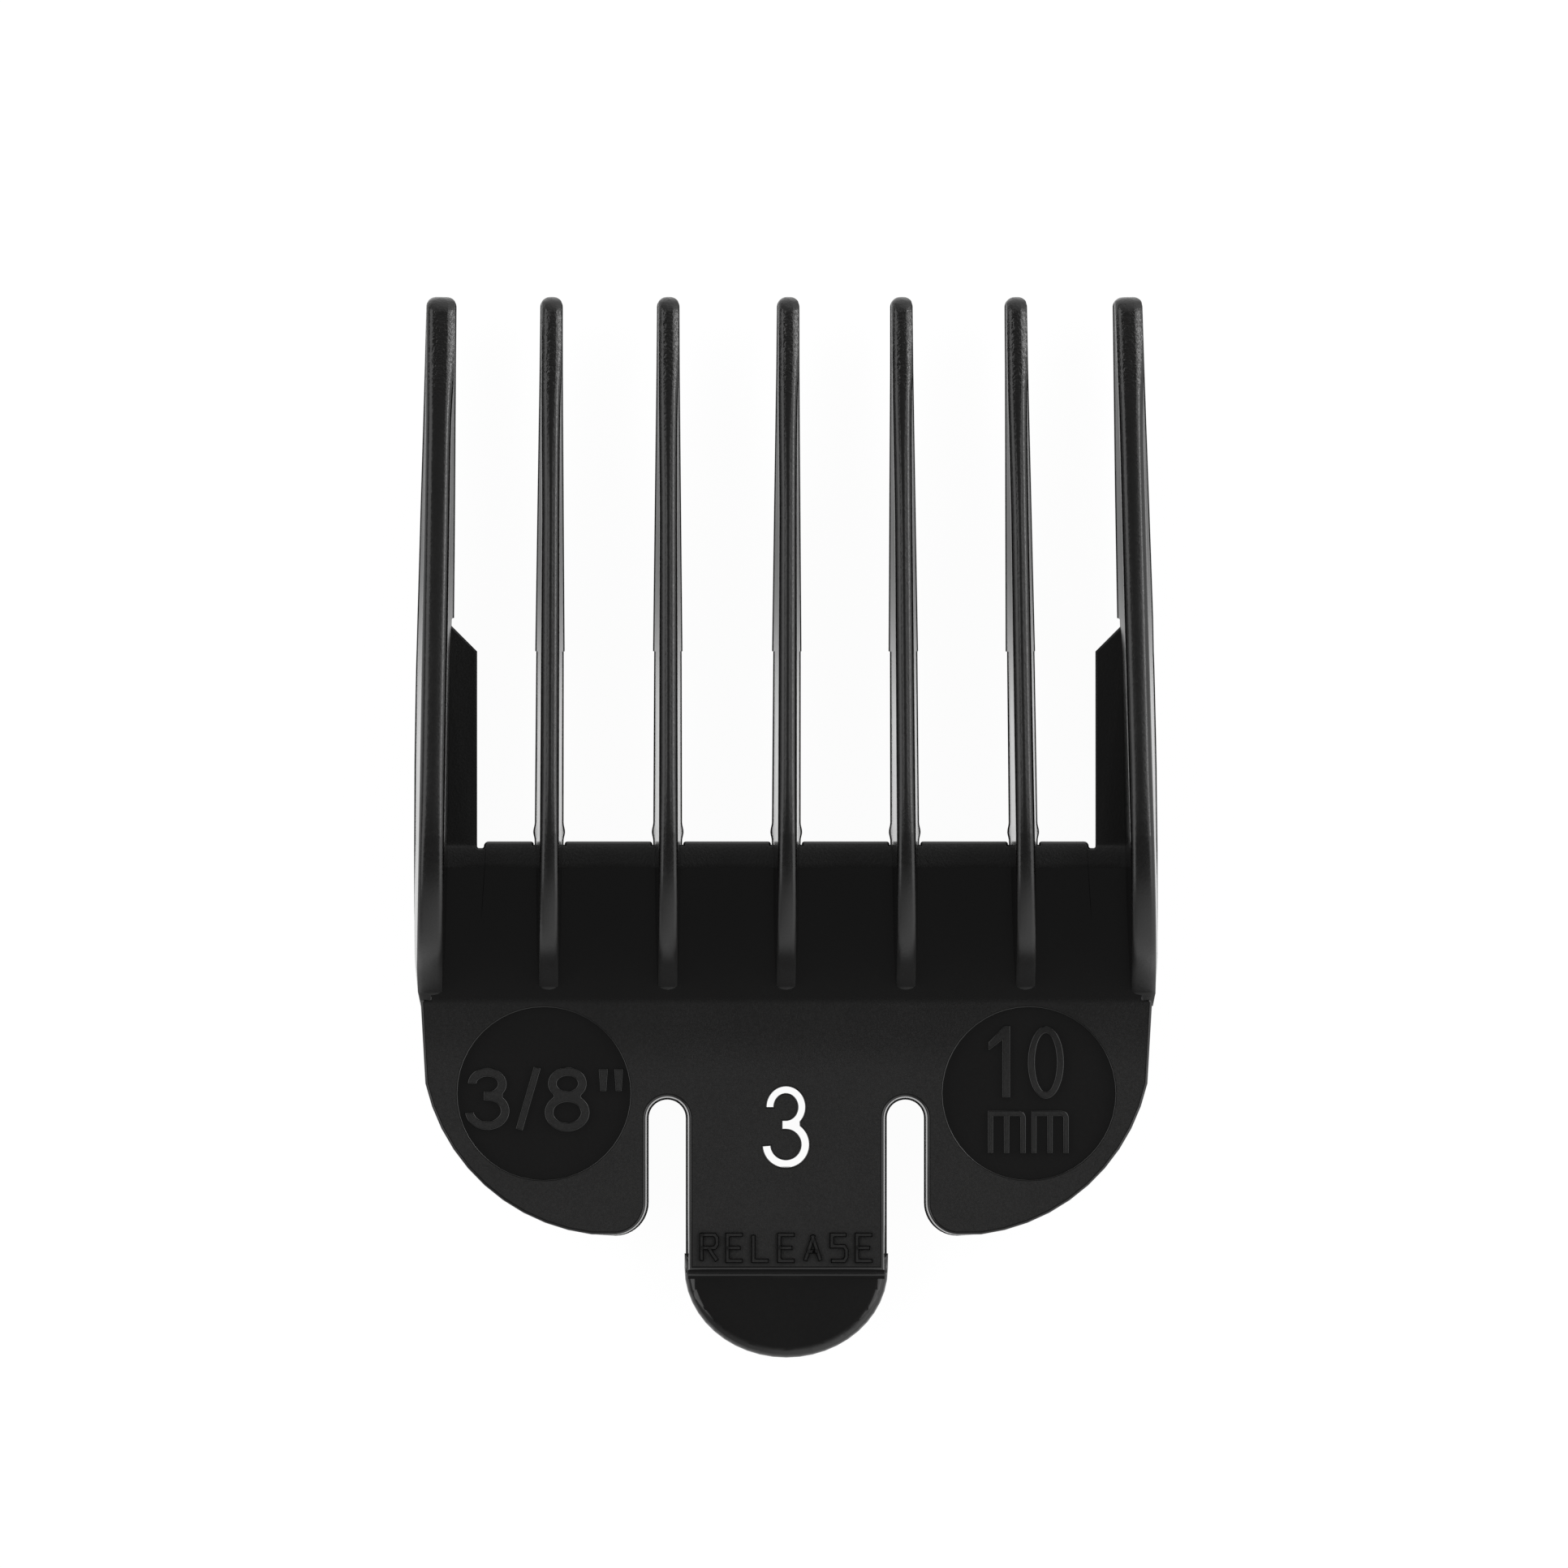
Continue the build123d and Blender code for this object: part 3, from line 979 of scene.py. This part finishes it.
@dataclass
class Teeth:
    """The comb's seven teeth, the outer two with the side walls that hold the blade."""

    datum: Datum
    inner_count: int = 5
    root_pitch: float = 7.15
    tip_pitch: float = 6.95
    outer_root: float = 21.33
    outer_tips: tuple[float, float] = (20.8, 20.6)
    tip_shifts: tuple[float, ...] = (-0.26, -0.17, 0.12, 0.0, -0.05)
    outer_left: Flank = Flank(
        ridge=((0.0, 0.725), (25.0, 0.73), (32.0, 0.8)),
        foot=((0.0, 1.09), (10.0, 1.07), (20.3, 1.02), (28.5, 0.94), (32.5, 0.9)),
        shoulder=((-2.0, 0.36), (4.0, 0.5), (28.0, 0.46)),
    )
    outer_right: Flank = Flank(
        ridge=((0.0, 0.725), (25.0, 0.74), (28.4, 0.84), (32.0, 0.84)),
        foot=((0.0, 1.1), (5.0, 1.12), (10.0, 1.11), (20.3, 1.04), (28.5, 0.95), (32.5, 0.92)),
        shoulder=((-2.0, 0.36), (4.0, 0.5), (24.0, 0.46), (28.4, 0.44)),
        depth=((26.0, 1.0), (28.4, 0.42)),
        bevel=((26.0, 0.0), (28.4, 0.8)),
    )
    outside_ridge: float = 0.1
    outside_foot: Line = (
        (-9.95, 0.55),
        (-9.36, 0.68),
        (-8.73, 0.83),
        (-7.0, 0.98),
        (-4.1, 1.055),
        (0.0, 1.13),
        (5.0, 1.19),
        (10.0, 1.19),
        (20.3, 1.06),
        (28.5, 0.94),
        (32.5, 0.9),
    )
    outer_rear: float = -9.95
    outer_foot: tuple[float, float] = (9.15, 0.3)
    outer_crest: float = 16.2
    wall_line: Line = ((-9.95, 1.2), (-6.5, 0.0), (11.4, 0.0), (13.4, 2.0))

    def inner_roots(self) -> list[float]:
        """X of each inner tooth at the plate's front edge."""
        return [(step - (self.inner_count - 1) / 2) * self.root_pitch for step in range(self.inner_count)]

    def draw(self) -> list[bpy.types.Object]:
        """Makes every tooth as a closed solid.

        Returns:
            The solids, left to right.
        """
        solids = []
        for index, root in enumerate(self.inner_roots()):
            tip = root * self.tip_pitch / self.root_pitch + self.tip_shifts[index]
            tooth = Tooth(f"tooth_{index + 1}", self.datum, root, tip)
            solids.append(tooth.draw().solid(tooth.name))
        for name, side, tip in (("left", -1, self.outer_tips[0]), ("right", 1, self.outer_tips[1])):
            left, right = self.outer_left, self.outer_right
            if side < 0:
                ridge = tuple((place, half + self.outside_ridge) for place, half in left.ridge)
                left = replace(left, ridge=ridge, foot=self.outside_foot)
            else:
                right = replace(right, foot=self.outside_foot)
            tooth = Tooth(
                f"tooth_outer_{name}",
                self.datum,
                side * self.outer_root,
                side * tip,
                left=left,
                right=right,
                foot_setback=self.outer_foot[0],
                foot_radius=self.outer_foot[1],
                crest_height=self.outer_crest,
                foot_dip=0.02,
                rear=self.outer_rear,
                root_swell=0.0,
                wall=self.wall_line,
                wall_side=-side,
            )
            solids.append(tooth.draw().solid(tooth.name))
        return solids


@dataclass
class Plate:
    """The flat plate: web, rails, lobes with round recesses, and the strip that becomes the tongue."""

    datum: Datum
    teeth: Teeth
    front_half: float = 22.06
    corner: tuple[float, float] = (21.78, -15.45)
    lobe_centre: tuple[float, float] = (10.31, -12.9)
    lobe_radius: float = 11.74
    lobe_corner: float = 2.0
    tongue_half: float = 6.06
    slot_width: float = 2.24
    slot_round: float = -17.55
    slot_lean: float = 0.19
    recess_centre: tuple[float, float] = (14.62, -16.05)
    recess_radius: float = 5.2
    recess_depth: float = 0.6
    rail_inner: float = 18.64
    rail_front: float = 10.6
    rim: float = 0.16
    web_rim: float = 0.12
    fine_rim: float = 0.07
    step_rim: float = 0.18
    step_reach: float = 0.27
    notch: tuple[float, float, float] = (0.93, 0.2, 0.18)
    numeral_stroke: tuple[float, float] = (0.4, 0.44)
    front_bevel: tuple[float, float, float, float] = (1.6, 0.48, 0.14, 0.08)
    web_slope: tuple[float, float] = (-2.5, -10.3)
    cut_box: tuple[float, float] = (7.14, -16.5)

    def _half_outline(self) -> list[Vector]:
        """Right half of the outline, from the tongue's end up to the middle of the web's front edge."""
        slot_x = self.tongue_half + self.slot_width / 2
        outer_x = self.tongue_half + self.slot_width
        middle_x, middle_y = self.lobe_centre
        round_x = outer_x + self.lobe_corner
        drop = sqrt((self.lobe_radius - self.lobe_corner) ** 2 - (round_x - middle_x) ** 2)
        round_centre = (round_x, middle_y - drop)
        toward = degrees(atan2(-drop, round_x - middle_x))
        corner_angle = degrees(atan2(self.corner[1] - middle_y, self.corner[0] - middle_x))
        points = [Vector((self.tongue_half, self.datum.step - self.step_reach))]
        points += arc((slot_x, self.slot_round), self.slot_width / 2, 180, 0)
        points += arc(round_centre, self.lobe_corner, 180, 360 + toward)
        points += arc(self.lobe_centre, self.lobe_radius, toward, corner_angle)[1:]
        front = self.datum.front
        rail_run = self.teeth.outer_root - self.rail_inner
        corners = [
            Corner(self.corner[0], self.corner[1]),
            Corner(self.front_half, self.datum.base_front, 0.25),
            Corner(self.teeth.outer_root + 0.2, self.datum.base_front),
            Corner(self.teeth.outer_root - 0.3, self.rail_front + rail_run - 0.3),
            Corner(self.rail_inner, self.rail_front),
            Corner(self.rail_inner, front - 0.4, 0.12),
            Corner(self.rail_inner - 0.4, front - 0.4, 0.12),
            Corner(self.rail_inner - 0.4, front, 0.3),
        ]
        half, depth, radius = self.notch
        for root in sorted(self.teeth.inner_roots(), reverse=True):
            if root > 0.01:
                corners += [
                    Corner(root + half, front, radius),
                    Corner(root + half, front - depth),
                    Corner(root - half, front - depth),
                    Corner(root - half, front, radius),
                ]
        corners += [Corner(half, front, radius), Corner(half, front - depth), Corner(0, front - depth)]
        return points + rounded(corners, closed=False)[1:]

    def outline(self) -> list[Vector]:
        """Whole outline of the plate, anticlockwise."""
        half = self._half_outline()
        return half + [Vector((-point.x, point.y)) for point in half[-2::-1]]

    def numeral(self) -> list[Vector]:
        """Outline of the numeral cut through the tongue, clockwise."""
        upper, lower = (-0.03, -16.87), (-0.03, -19.13)
        return three_outline(upper, (0.96, 1.04), lower, (1.17, 1.17), self.numeral_stroke, 0.2)

    def surface(self, place: float) -> float:
        """Height of the plate's top face at a place along the comb."""
        datum = self.datum
        run, fall, bend, curl = self.front_bevel
        share = min((place - datum.front) / run + 1, 1.0)
        if share > 0:
            return datum.web_top - fall * share - bend * share**4 - curl * share**16
        start, end = self.web_slope
        return along(((end, datum.plate_top), (start, datum.web_top)), place)

    def _rim(self, point: Vector) -> float:
        """Rim radius: small round a recess and the numeral."""
        aside = abs(point.x)
        if hypot(aside - self.recess_centre[0], point.y - self.recess_centre[1]) < self.recess_radius + 0.1:
            return self.fine_rim
        if aside < 3 and -21 < point.y < -3:
            return self.fine_rim
        if point.y < self.datum.step:
            return self.step_rim
        return self.web_rim if point.y > -3 else self.rim

    def _lean(self, point: Vector) -> float:
        """How far a wall leans back: only in the slots and round the corners next to them."""
        aside = abs(point.x)
        if point.y > self.slot_round + self.slot_width or aside < 3:
            return 0.0
        return self.slot_lean * along(((8.5, 1.0), (11.5, 0.0)), aside)

    def draw(self) -> bpy.types.Object:
        """Makes the plate with its recesses and the numeral.

        Returns:
            The solid, still with the tongue's strip on it.
        """
        datum = self.datum
        slab = Slab(datum.seat, datum.plate_top, face=Face.GRAINED, rim_radius=self._rim, lean=self._lean)
        recess_x, recess_y = self.recess_centre
        rings = [arc((side * recess_x, recess_y), self.recess_radius, 360, 0)[:-1] for side in (-1, 1)]
        draft = slab.draw(self.outline(), [self.numeral()], [(ring, self.recess_depth) for ring in rings])
        plate = draft.solid("plate")
        run = self.front_bevel[0]
        rows = [datum.front - run * (1 - share) for share in (0, 0.2, 0.4, 0.55, 0.7, 0.8, 0.88)]
        rows += self.web_slope
        middle = (datum.seat + datum.web_top) / 2

        def lift(place: Vector) -> float:
            """Lowers the upper half of the plate to its surface line."""
            return self.surface(place.y) - datum.plate_top if place.z > middle else 0.0

        reshape(plate, [(1, row) for row in rows], lift)
        return plate

    def cutter(self) -> bpy.types.Object:
        """Block round the strip that becomes the tongue."""
        half, top = self.cut_box
        slab = Slab(self.datum.seat - 1, self.datum.plate_top + 1)
        corners = [Corner(-half, -40), Corner(half, -40), Corner(half, top), Corner(-half, top)]
        return slab.draw(rounded(corners)).solid("cutter")


@dataclass
class Tongue:
    """The release tongue below the plate: its stepped thumb lip and the catch that hooks the blade's heel."""

    datum: Datum
    half: float = 6.06
    lip_half: float = 6.14
    lip_overlap: float = 0.9
    lip_rim: float = 0.62
    lip_fall: float = 0.1
    step_run: float = 0.36
    step_fillet: float = 0.18
    step_depth: float = 0.44
    step_back: float = 0.25
    catch_half: float = 5.0
    bend_rows: tuple[float, float, float] = (-16.8, -21.0, 0.35)
    bend_end: float = -21.0

    def lip(self) -> bpy.types.Object:
        """Makes the polished thumb lip, which falls away a little to its round rim."""
        datum = self.datum
        length = datum.step - datum.end
        half, inner = self.lip_half, datum.step + self.lip_overlap
        outline = arc((0, datum.step), (half, length), 180, 360)
        outline += [Vector((half, inner)), Vector((-half, inner))]

        def rim(point: Vector) -> float:
            """Rim radius: none worth having inside the tongue."""
            return self.lip_rim if point.y <= datum.step else 0.05

        slab = Slab(datum.lip_bottom, datum.lip_top, foot_radius=0.2, rim_radius=rim)
        made = slab.draw(outline).solid("lip")
        rows = [(1, datum.step - 0.45 * step) for step in range(1, 12)]
        rows += [(0, -5.5 + 0.55 * step) for step in range(21)]
        middle = (datum.lip_bottom + datum.lip_top) / 2

        def lift(place: Vector) -> float:
            """Lets the top fall away towards the rim."""
            share = min(hypot(place.x / half, (place.y - datum.step) / length), 1.0)
            return -self.lip_fall * share**3 if place.z > middle and place.y < datum.step else 0.0

        reshape(made, rows, lift)
        return made

    def step(self) -> bpy.types.Object:
        """Makes the sloping face and the fillet where the tongue steps down to the lip."""
        datum = self.datum
        foot = datum.lip_top - 0.02
        toe = datum.step - self.step_run - self.step_fillet
        corners = [
            Corner(datum.step + 0.5, datum.plate_top - self.step_depth),
            Corner(datum.step - self.step_back, datum.plate_top - self.step_depth),
            Corner(datum.step - self.step_run, foot + 0.02, self.step_fillet),
            Corner(toe - 0.1, foot),
            Corner(datum.step + 0.5, foot),
        ]
        half = self.half - 0.14
        draft, rings = Draft(), []
        for across in (-half, half):
            rings.append(draft.ring((across, point.x, point.y) for point in rounded(corners)))
        draft.skin(rings[0], rings[1], Face.POLISHED)
        draft.cap(rings[0][::-1], Face.POLISHED)
        draft.cap(rings[1], Face.POLISHED)
        return draft.solid("step")

    def catch(self) -> bpy.types.Object:
        """Makes the hooked catch under the tongue."""
        low, high = span("heel_catch")
        nose = high.y
        wall = low.y
        corners = [
            Corner(wall, high.z + 0.4),
            Corner(wall, low.z, 0.3),
            Corner(nose - 0.35, low.z, 0.18),
            Corner(nose, low.z + 0.7, 0.16),
            Corner(nose - 0.6, low.z + 0.7, 0.1),
            Corner(nose - 0.6, high.z + 0.4),
        ]
        slab = Slab(-self.catch_half, self.catch_half, foot_radius=0.1, rim_radius=lambda point: 0.1)
        turn = Matrix(((0, 0, 1, 0), (1, 0, 0, 0), (0, 1, 0, 0), (0, 0, 0, 1)))
        return slab.draw(rounded(corners)).turned(turn).solid("catch")


@dataclass
class Marks:
    """Raised size figures in the two recesses and the raised word beside the lip."""

    datum: Datum
    plate: Plate
    figure_height: float = 0.42
    figure_rim: float = 0.07
    figure_stroke: float = 0.56
    slash_stroke: float = 0.46
    stem_stroke: float = 0.36
    sink: float = 0.1
    word: str = "RELEASE"
    word_middle: tuple[float, float] = (0.03, -25.355)
    word_pitch: float = 1.562
    letter: tuple[float, float] = (0.93, 1.57)
    word_stroke: float = 0.25
    word_height: float = 0.13
    word_rim: float = 0.05

    def _raised(
        self, name: str, base: float, height: float, shapes: Sequence[tuple], rim: float
    ) -> bpy.types.Object:
        """Raises outlines from a face and joins them.

        Args:
            name: The object's name.
            base: Level of the face.
            height: How far they stand up.
            shapes: Each an outline with the outlines of its holes.
            rim: Radius of their rims.

        Returns:
            One object.
        """
        slab = Slab(base - self.sink, base + height, foot_radius=0.02, face=Face.GRAINED, guard=0.01)
        slab.rim_radius = lambda point: rim
        solids = [slab.draw(outline, holes).solid(name) for outline, holes in shapes]
        made = combine(solids[0], "UNION", solids[1:])
        made.name = made.data.name = name
        return made

    def _figures(self, name: str, shapes: Sequence[tuple]) -> bpy.types.Object:
        """Raises size figures from the floor of a recess."""
        floor = self.datum.plate_top - self.plate.recess_depth
        return self._raised(name, floor, self.figure_height, shapes, self.figure_rim)

    def _eight(self, x: float, y: float) -> tuple[list[Vector], list[list[Vector]]]:
        """Outline of an 8 and its two holes, about a point."""
        half = self.figure_stroke / 2
        rings = [((x + 1.41, y + 0.6), (0.905, 0.72)), ((x + 1.4, y - 1.145), (1.09, 0.89))]
        (upper_centre, upper), (lower_centre, lower) = [(centre, grown(radii, half)) for centre, radii in rings]
        top = clear_arc(upper_centre, upper, (-90, 270), (lower_centre, lower))
        base = clear_arc(lower_centre, lower, (90, 450), (upper_centre, upper))
        holes = [arc(centre, grown(radii, -half), 360, 0)[:-1] for centre, radii in rings]
        return top + base, holes

    def left(self) -> bpy.types.Object:
        """Makes the inch size."""
        x, y = -self.plate.recess_centre[0], self.plate.recess_centre[1]
        widths = (self.figure_stroke, self.figure_stroke)
        upper, lower = (x - 3.42, y + 0.57), (x - 3.42, y - 1.05)
        three = three_outline(upper, (0.91, 0.71), lower, (1.08, 0.89), widths, 0.23)
        slash = stroke([(x - 1.5, y - 2.2), (x - 0.39, y + 1.59)], self.slash_stroke)
        shapes = [(three[::-1], []), (slash, []), self._eight(x, y)]
        for mark in (3.58, 4.51):
            wedge = [(-0.2, 0.12), (0.2, 0.12), (0.3, 1.49), (-0.3, 1.49)]
            shapes.append(([Vector((x + mark + dx, y + dy)) for dx, dy in wedge], []))
        return self._figures("size_mark_left", shapes)

    def right(self) -> bpy.types.Object:
        """Makes the metric size."""
        x, y = self.plate.recess_centre
        flag = [(-1.62, -0.26), (-1.12, -0.26), (-1.12, 4.09), (-1.5, 4.09)]
        flag += [(-2.45, 3.1), (-2.45, 2.55), (-1.62, 3.2)]
        one = [Vector((x + dx, y + dy)) for dx, dy in flag]
        middle, radii, half = (x + 1.02, y + 1.87), (0.875, 1.98), self.slash_stroke / 2
        zero = arc(middle, grown(radii, half), 0, 360)[:-1]
        hole = arc(middle, grown(radii, -half), 360, 0)[:-1]
        shapes = [(one, []), (zero, [hole])]
        foot, head = y - 3.63, y - 1.2
        for stems in ((-2.32, -1.35, -0.35), (0.3, 1.27, 2.24)):
            first, inner, last = (x + stem for stem in stems)
            corners = [Corner(first, foot), Corner(first, head), Corner(last, head, 0.3), Corner(last, foot)]
            shapes.append((stroke(rounded(corners, closed=False), self.stem_stroke), []))
            shapes.append((stroke([(inner, foot), (inner, head)], self.stem_stroke), []))
        return self._figures("size_mark_right", shapes)

    def release(self) -> bpy.types.Object:
        """Makes the word that says what the tongue is for."""
        width, height = self.letter
        strokes: dict[str, list[list[tuple[float, float]]]] = {
            "R": [
                [(0, 0), (0, 1.08)],
                [(0, 1), (0.85, 1), (1, 0.88), (1, 0.62), (0.85, 0.5), (0, 0.5)],
                [(0.45, 0.5), (1, 0)],
            ],
            "E": [[(0, 0.5), (0.85, 0.5)], [(1, 0), (0, 0), (0, 1), (1, 1)]],
            "L": [[(0, 1), (0, 0), (1, 0)]],
            "A": [[(0, 0), (0.56, 1)], [(0.44, 1), (1, 0)], [(0.2, 0.36), (0.8, 0.36)]],
            "S": [[(1, 1), (0.05, 1), (0.05, 0.56), (0.85, 0.56), (1, 0.42), (1, 0.14), (0.85, 0), (0, 0)]],
        }
        shapes = []
        for place, letter in enumerate(self.word):
            left = self.word_middle[0] + (place - (len(self.word) - 1) / 2) * self.word_pitch - width / 2
            low = self.word_middle[1] - height / 2
            for line in strokes[letter]:
                points = [(left + u * width, low + v * height) for u, v in line]
                shapes.append((stroke(points, self.word_stroke), []))
        return self._raised("release_mark", self.datum.plate_top, self.word_height, shapes, self.word_rim)


@dataclass
class Comb:
    """The whole comb: a fixed moulding and the release tongue, a separate piece cut with extra rows where it
    would bend.
    """

    datum: Datum
    made: list[bpy.types.Object] = field(default_factory=list)

    def _place(self, thing: bpy.types.Object, slot: str, *nodes: str) -> bpy.types.Object:
        """Finishes a piece and says which CAD nodes it stands for.

        Args:
            thing: The piece, in millimetres.
            slot: A material slot's name; not used.
            nodes: The CAD nodes that it replaces.

        Returns:
            The piece.
        """
        finish_mesh(thing)
        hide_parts(*nodes)
        self.made.append(thing)
        log.info("%s stands for %s", thing.name, ", ".join(nodes))
        return thing

    def build(self) -> None:
        """Builds and places every piece."""
        teeth = Teeth(self.datum)
        plate = Plate(self.datum, teeth)
        tongue = Tongue(self.datum)
        marks = Marks(self.datum, plate)
        body = plate.draw()
        arm = twin(body, "flex_tongue")
        combine(body, "DIFFERENCE", [plate.cutter()])
        combine(arm, "INTERSECT", [plate.cutter()])
        combine(body, "UNION", teeth.draw())
        body.name = "guard_moulding"
        combine(arm, "UNION", [tongue.lip(), tongue.step(), tongue.catch()])
        first, last, pitch = tongue.bend_rows
        reshape(arm, [(1, first - pitch * step) for step in range(int((first - last) / pitch) + 1)])
        parts = ("tooth_outer", "side_wall", "blade_rail")
        sides = [f"{part}_{side}" for part in parts for side in ("left", "right")]
        inner = [f"tooth_{index + 1}" for index in range(teeth.inner_count)]
        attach(self._place(body, "polished_plastic", "base_plate", "comb_web", *inner, *sides), "comb_body")
        self._place(arm, "textured_plastic", "release_tongue", "thumb_lip", "heel_catch")
        start, end = plate.cut_box[1] * MM, tongue.bend_end * MM
        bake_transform(arm)
        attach(self._place(marks.left(), "textured_plastic", "size_figures_left"), "comb_body")
        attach(self._place(marks.right(), "textured_plastic", "size_figures_right"), "comb_body")
        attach(self._place(marks.release(), "textured_plastic", "release_word"), "release_arm")


# ---------------------------------------------------------------- the studio
def facing(away: Vector) -> Matrix:
    """Turn of a lamp or a camera that looks back along a direction, with its top to +Y."""
    right = Vector((0, 1, 0)).cross(away).normalized()
    return Matrix((right, away.cross(right), away)).transposed()


def added(name: str, data: bpy.types.ID) -> bpy.types.Object:
    """Puts a new object into the scene."""
    made = bpy.data.objects.new(name, data)
    bpy.context.scene.collection.objects.link(made)
    return made


@dataclass(frozen=True)
class Lamp:
    """A soft lamp: the way to it, its width and length, and its radiance."""

    name: str
    way: tuple[float, float, float]
    size: tuple[float, float]
    radiance: float


@dataclass
class Studio:
    """White table, soft light from both sides and the camera straight above."""

    view_middle: tuple[float, float, float] = (-0.147, 2.605, 5.6)
    view_width: float = 94.52
    camera_height: float = 2500.0
    camera_tilt: float = 0.4
    sensor: float = 36.0
    table_size: float = 6.0
    table_level: float = -0.02
    table_grey: float = 0.8
    shadow_share: float = 0.07
    room_grey: float = 0.35
    lamp_distance: float = 0.5
    lamps: tuple[Lamp, ...] = (
        Lamp("left", (-1.0, 0.3, 1.0), (0.36, 0.8), 1.6),
        Lamp("right", (1.0, 0.3, 1.0), (0.36, 0.8), 1.3),
        Lamp("edge", (0.68, 0.49, 0.54), (0.06, 0.2), 5.5),
    )
    walls: tuple[tuple[float, tuple[float, float, float]], ...] = (
        (0.0, (1.0, 1.0, 1.0)),
        (0.3, (0.8, 0.8, 0.8)),
        (0.6, (0.36, 0.36, 0.36)),
        (0.8, (0.2, 0.2, 0.2)),
        (1.0, (0.19, 0.19, 0.19)),
    )
    wall_sides: tuple[float, float] = (0.4, 1.5)
    wall_rise: tuple[float, float] = (0.2, 0.6)

    def camera(self) -> None:
        """Places the camera above the plate, with the whole comb in view."""
        data = bpy.data.cameras.new("camera")
        data.sensor_width = self.sensor
        data.lens = self.sensor * self.camera_height / self.view_width
        data.clip_end = 10
        made = added("camera", data)
        aim = Vector(self.view_middle) * MM
        away = Vector((-sin(radians(self.camera_tilt)), 0, cos(radians(self.camera_tilt))))
        made.location = aim + away * self.camera_height * MM
        made.rotation_euler = facing(away).to_euler()
        bpy.context.scene.camera = made

    def table(self) -> None:
        """Lays the white table, which keeps a faint shadow of the comb."""
        half = self.table_size / 2
        mesh = bpy.data.meshes.new("table")
        level = self.table_level * MM
        corners = [(-half, -half, level), (half, -half, level), (half, half, level), (-half, half, level)]
        mesh.from_pydata(corners, [], [(0, 1, 2, 3)])
        made = bpy.data.materials.new("white_table")
        made.use_nodes = True
        graph = Graph(made.node_tree)
        share = self.shadow_share
        glow = graph.node("ShaderNodeEmission", None, {"Color": (1, 1, 1, 1), "Strength": 1 - share * 0.5})
        matt = graph.node("ShaderNodeBsdfDiffuse", None, {"Color": (share, share, share, 1)})
        shown = graph.node("ShaderNodeAddShader", None, {0: glow.outputs[0], 1: matt.outputs[0]})
        plain = graph.node("ShaderNodeBsdfDiffuse", None, {"Color": (*[self.table_grey] * 3, 1)})
        graph.show("ShaderNodeOutputMaterial", plain, shown)
        mesh.materials.append(made)
        thing = added("table", mesh)

    def world(self) -> None:
        """Lights the room: white at the horizon and darker overhead, where the camera looks from."""
        made = bpy.data.worlds.new("room")
        made.use_nodes = True
        graph = Graph(made.node_tree)
        place = graph.node("ShaderNodeTexCoord").outputs["Generated"]
        way = graph.node("ShaderNodeSeparateXYZ", None, {0: place})
        right = Value(graph, way.outputs["X"])
        ahead = Value(graph, way.outputs["Y"])
        front, back = self.wall_rise
        height = Value(graph, way.outputs["Z"]) - (ahead * front | (0.0 - ahead) * back)
        ramp = graph.node("ShaderNodeValToRGB", {"stops": self.walls}, {0: height})
        straight = graph.value("ShaderNodeLightPath", "Is Camera Ray")
        share = right.ease(-0.9, 0.9, *self.wall_sides) | straight
        shown = graph.node("ShaderNodeBackground", None, {"Color": ramp.outputs["Color"], "Strength": share})
        plain = graph.node("ShaderNodeBackground", None, {"Color": (*[self.room_grey] * 3, 1), "Strength": 1.0})
        graph.show("ShaderNodeOutputWorld", plain, shown)
        bpy.context.scene.world = made

    def hang(self, lamp: Lamp) -> None:
        """Hangs a lamp that faces the comb."""
        data = bpy.data.lights.new(f"lamp_{lamp.name}", "AREA")
        data.shape = "RECTANGLE"
        data.size, data.size_y = lamp.size
        data.energy = lamp.radiance * pi * data.size * data.size_y
        made = added(f"lamp_{lamp.name}", data)
        away = Vector(lamp.way).normalized()
        made.location = away * self.lamp_distance
        made.rotation_euler = facing(away).to_euler()

    def build(self) -> None:
        """Sets up everything round the comb."""
        self.camera()
        self.table()
        self.world()
        for lamp in self.lamps:
            self.hang(lamp)
        bpy.context.scene.view_settings.view_transform = "Standard"


def main() -> None:
    """Builds the comb and its studio."""
    logging.basicConfig(level=logging.INFO, format="%(message)s")
    comb = Comb(Datum.read())
    comb.build()
    Studio().build()
    bpy.context.view_layer.update()


if __name__ == "__main__":
    main()
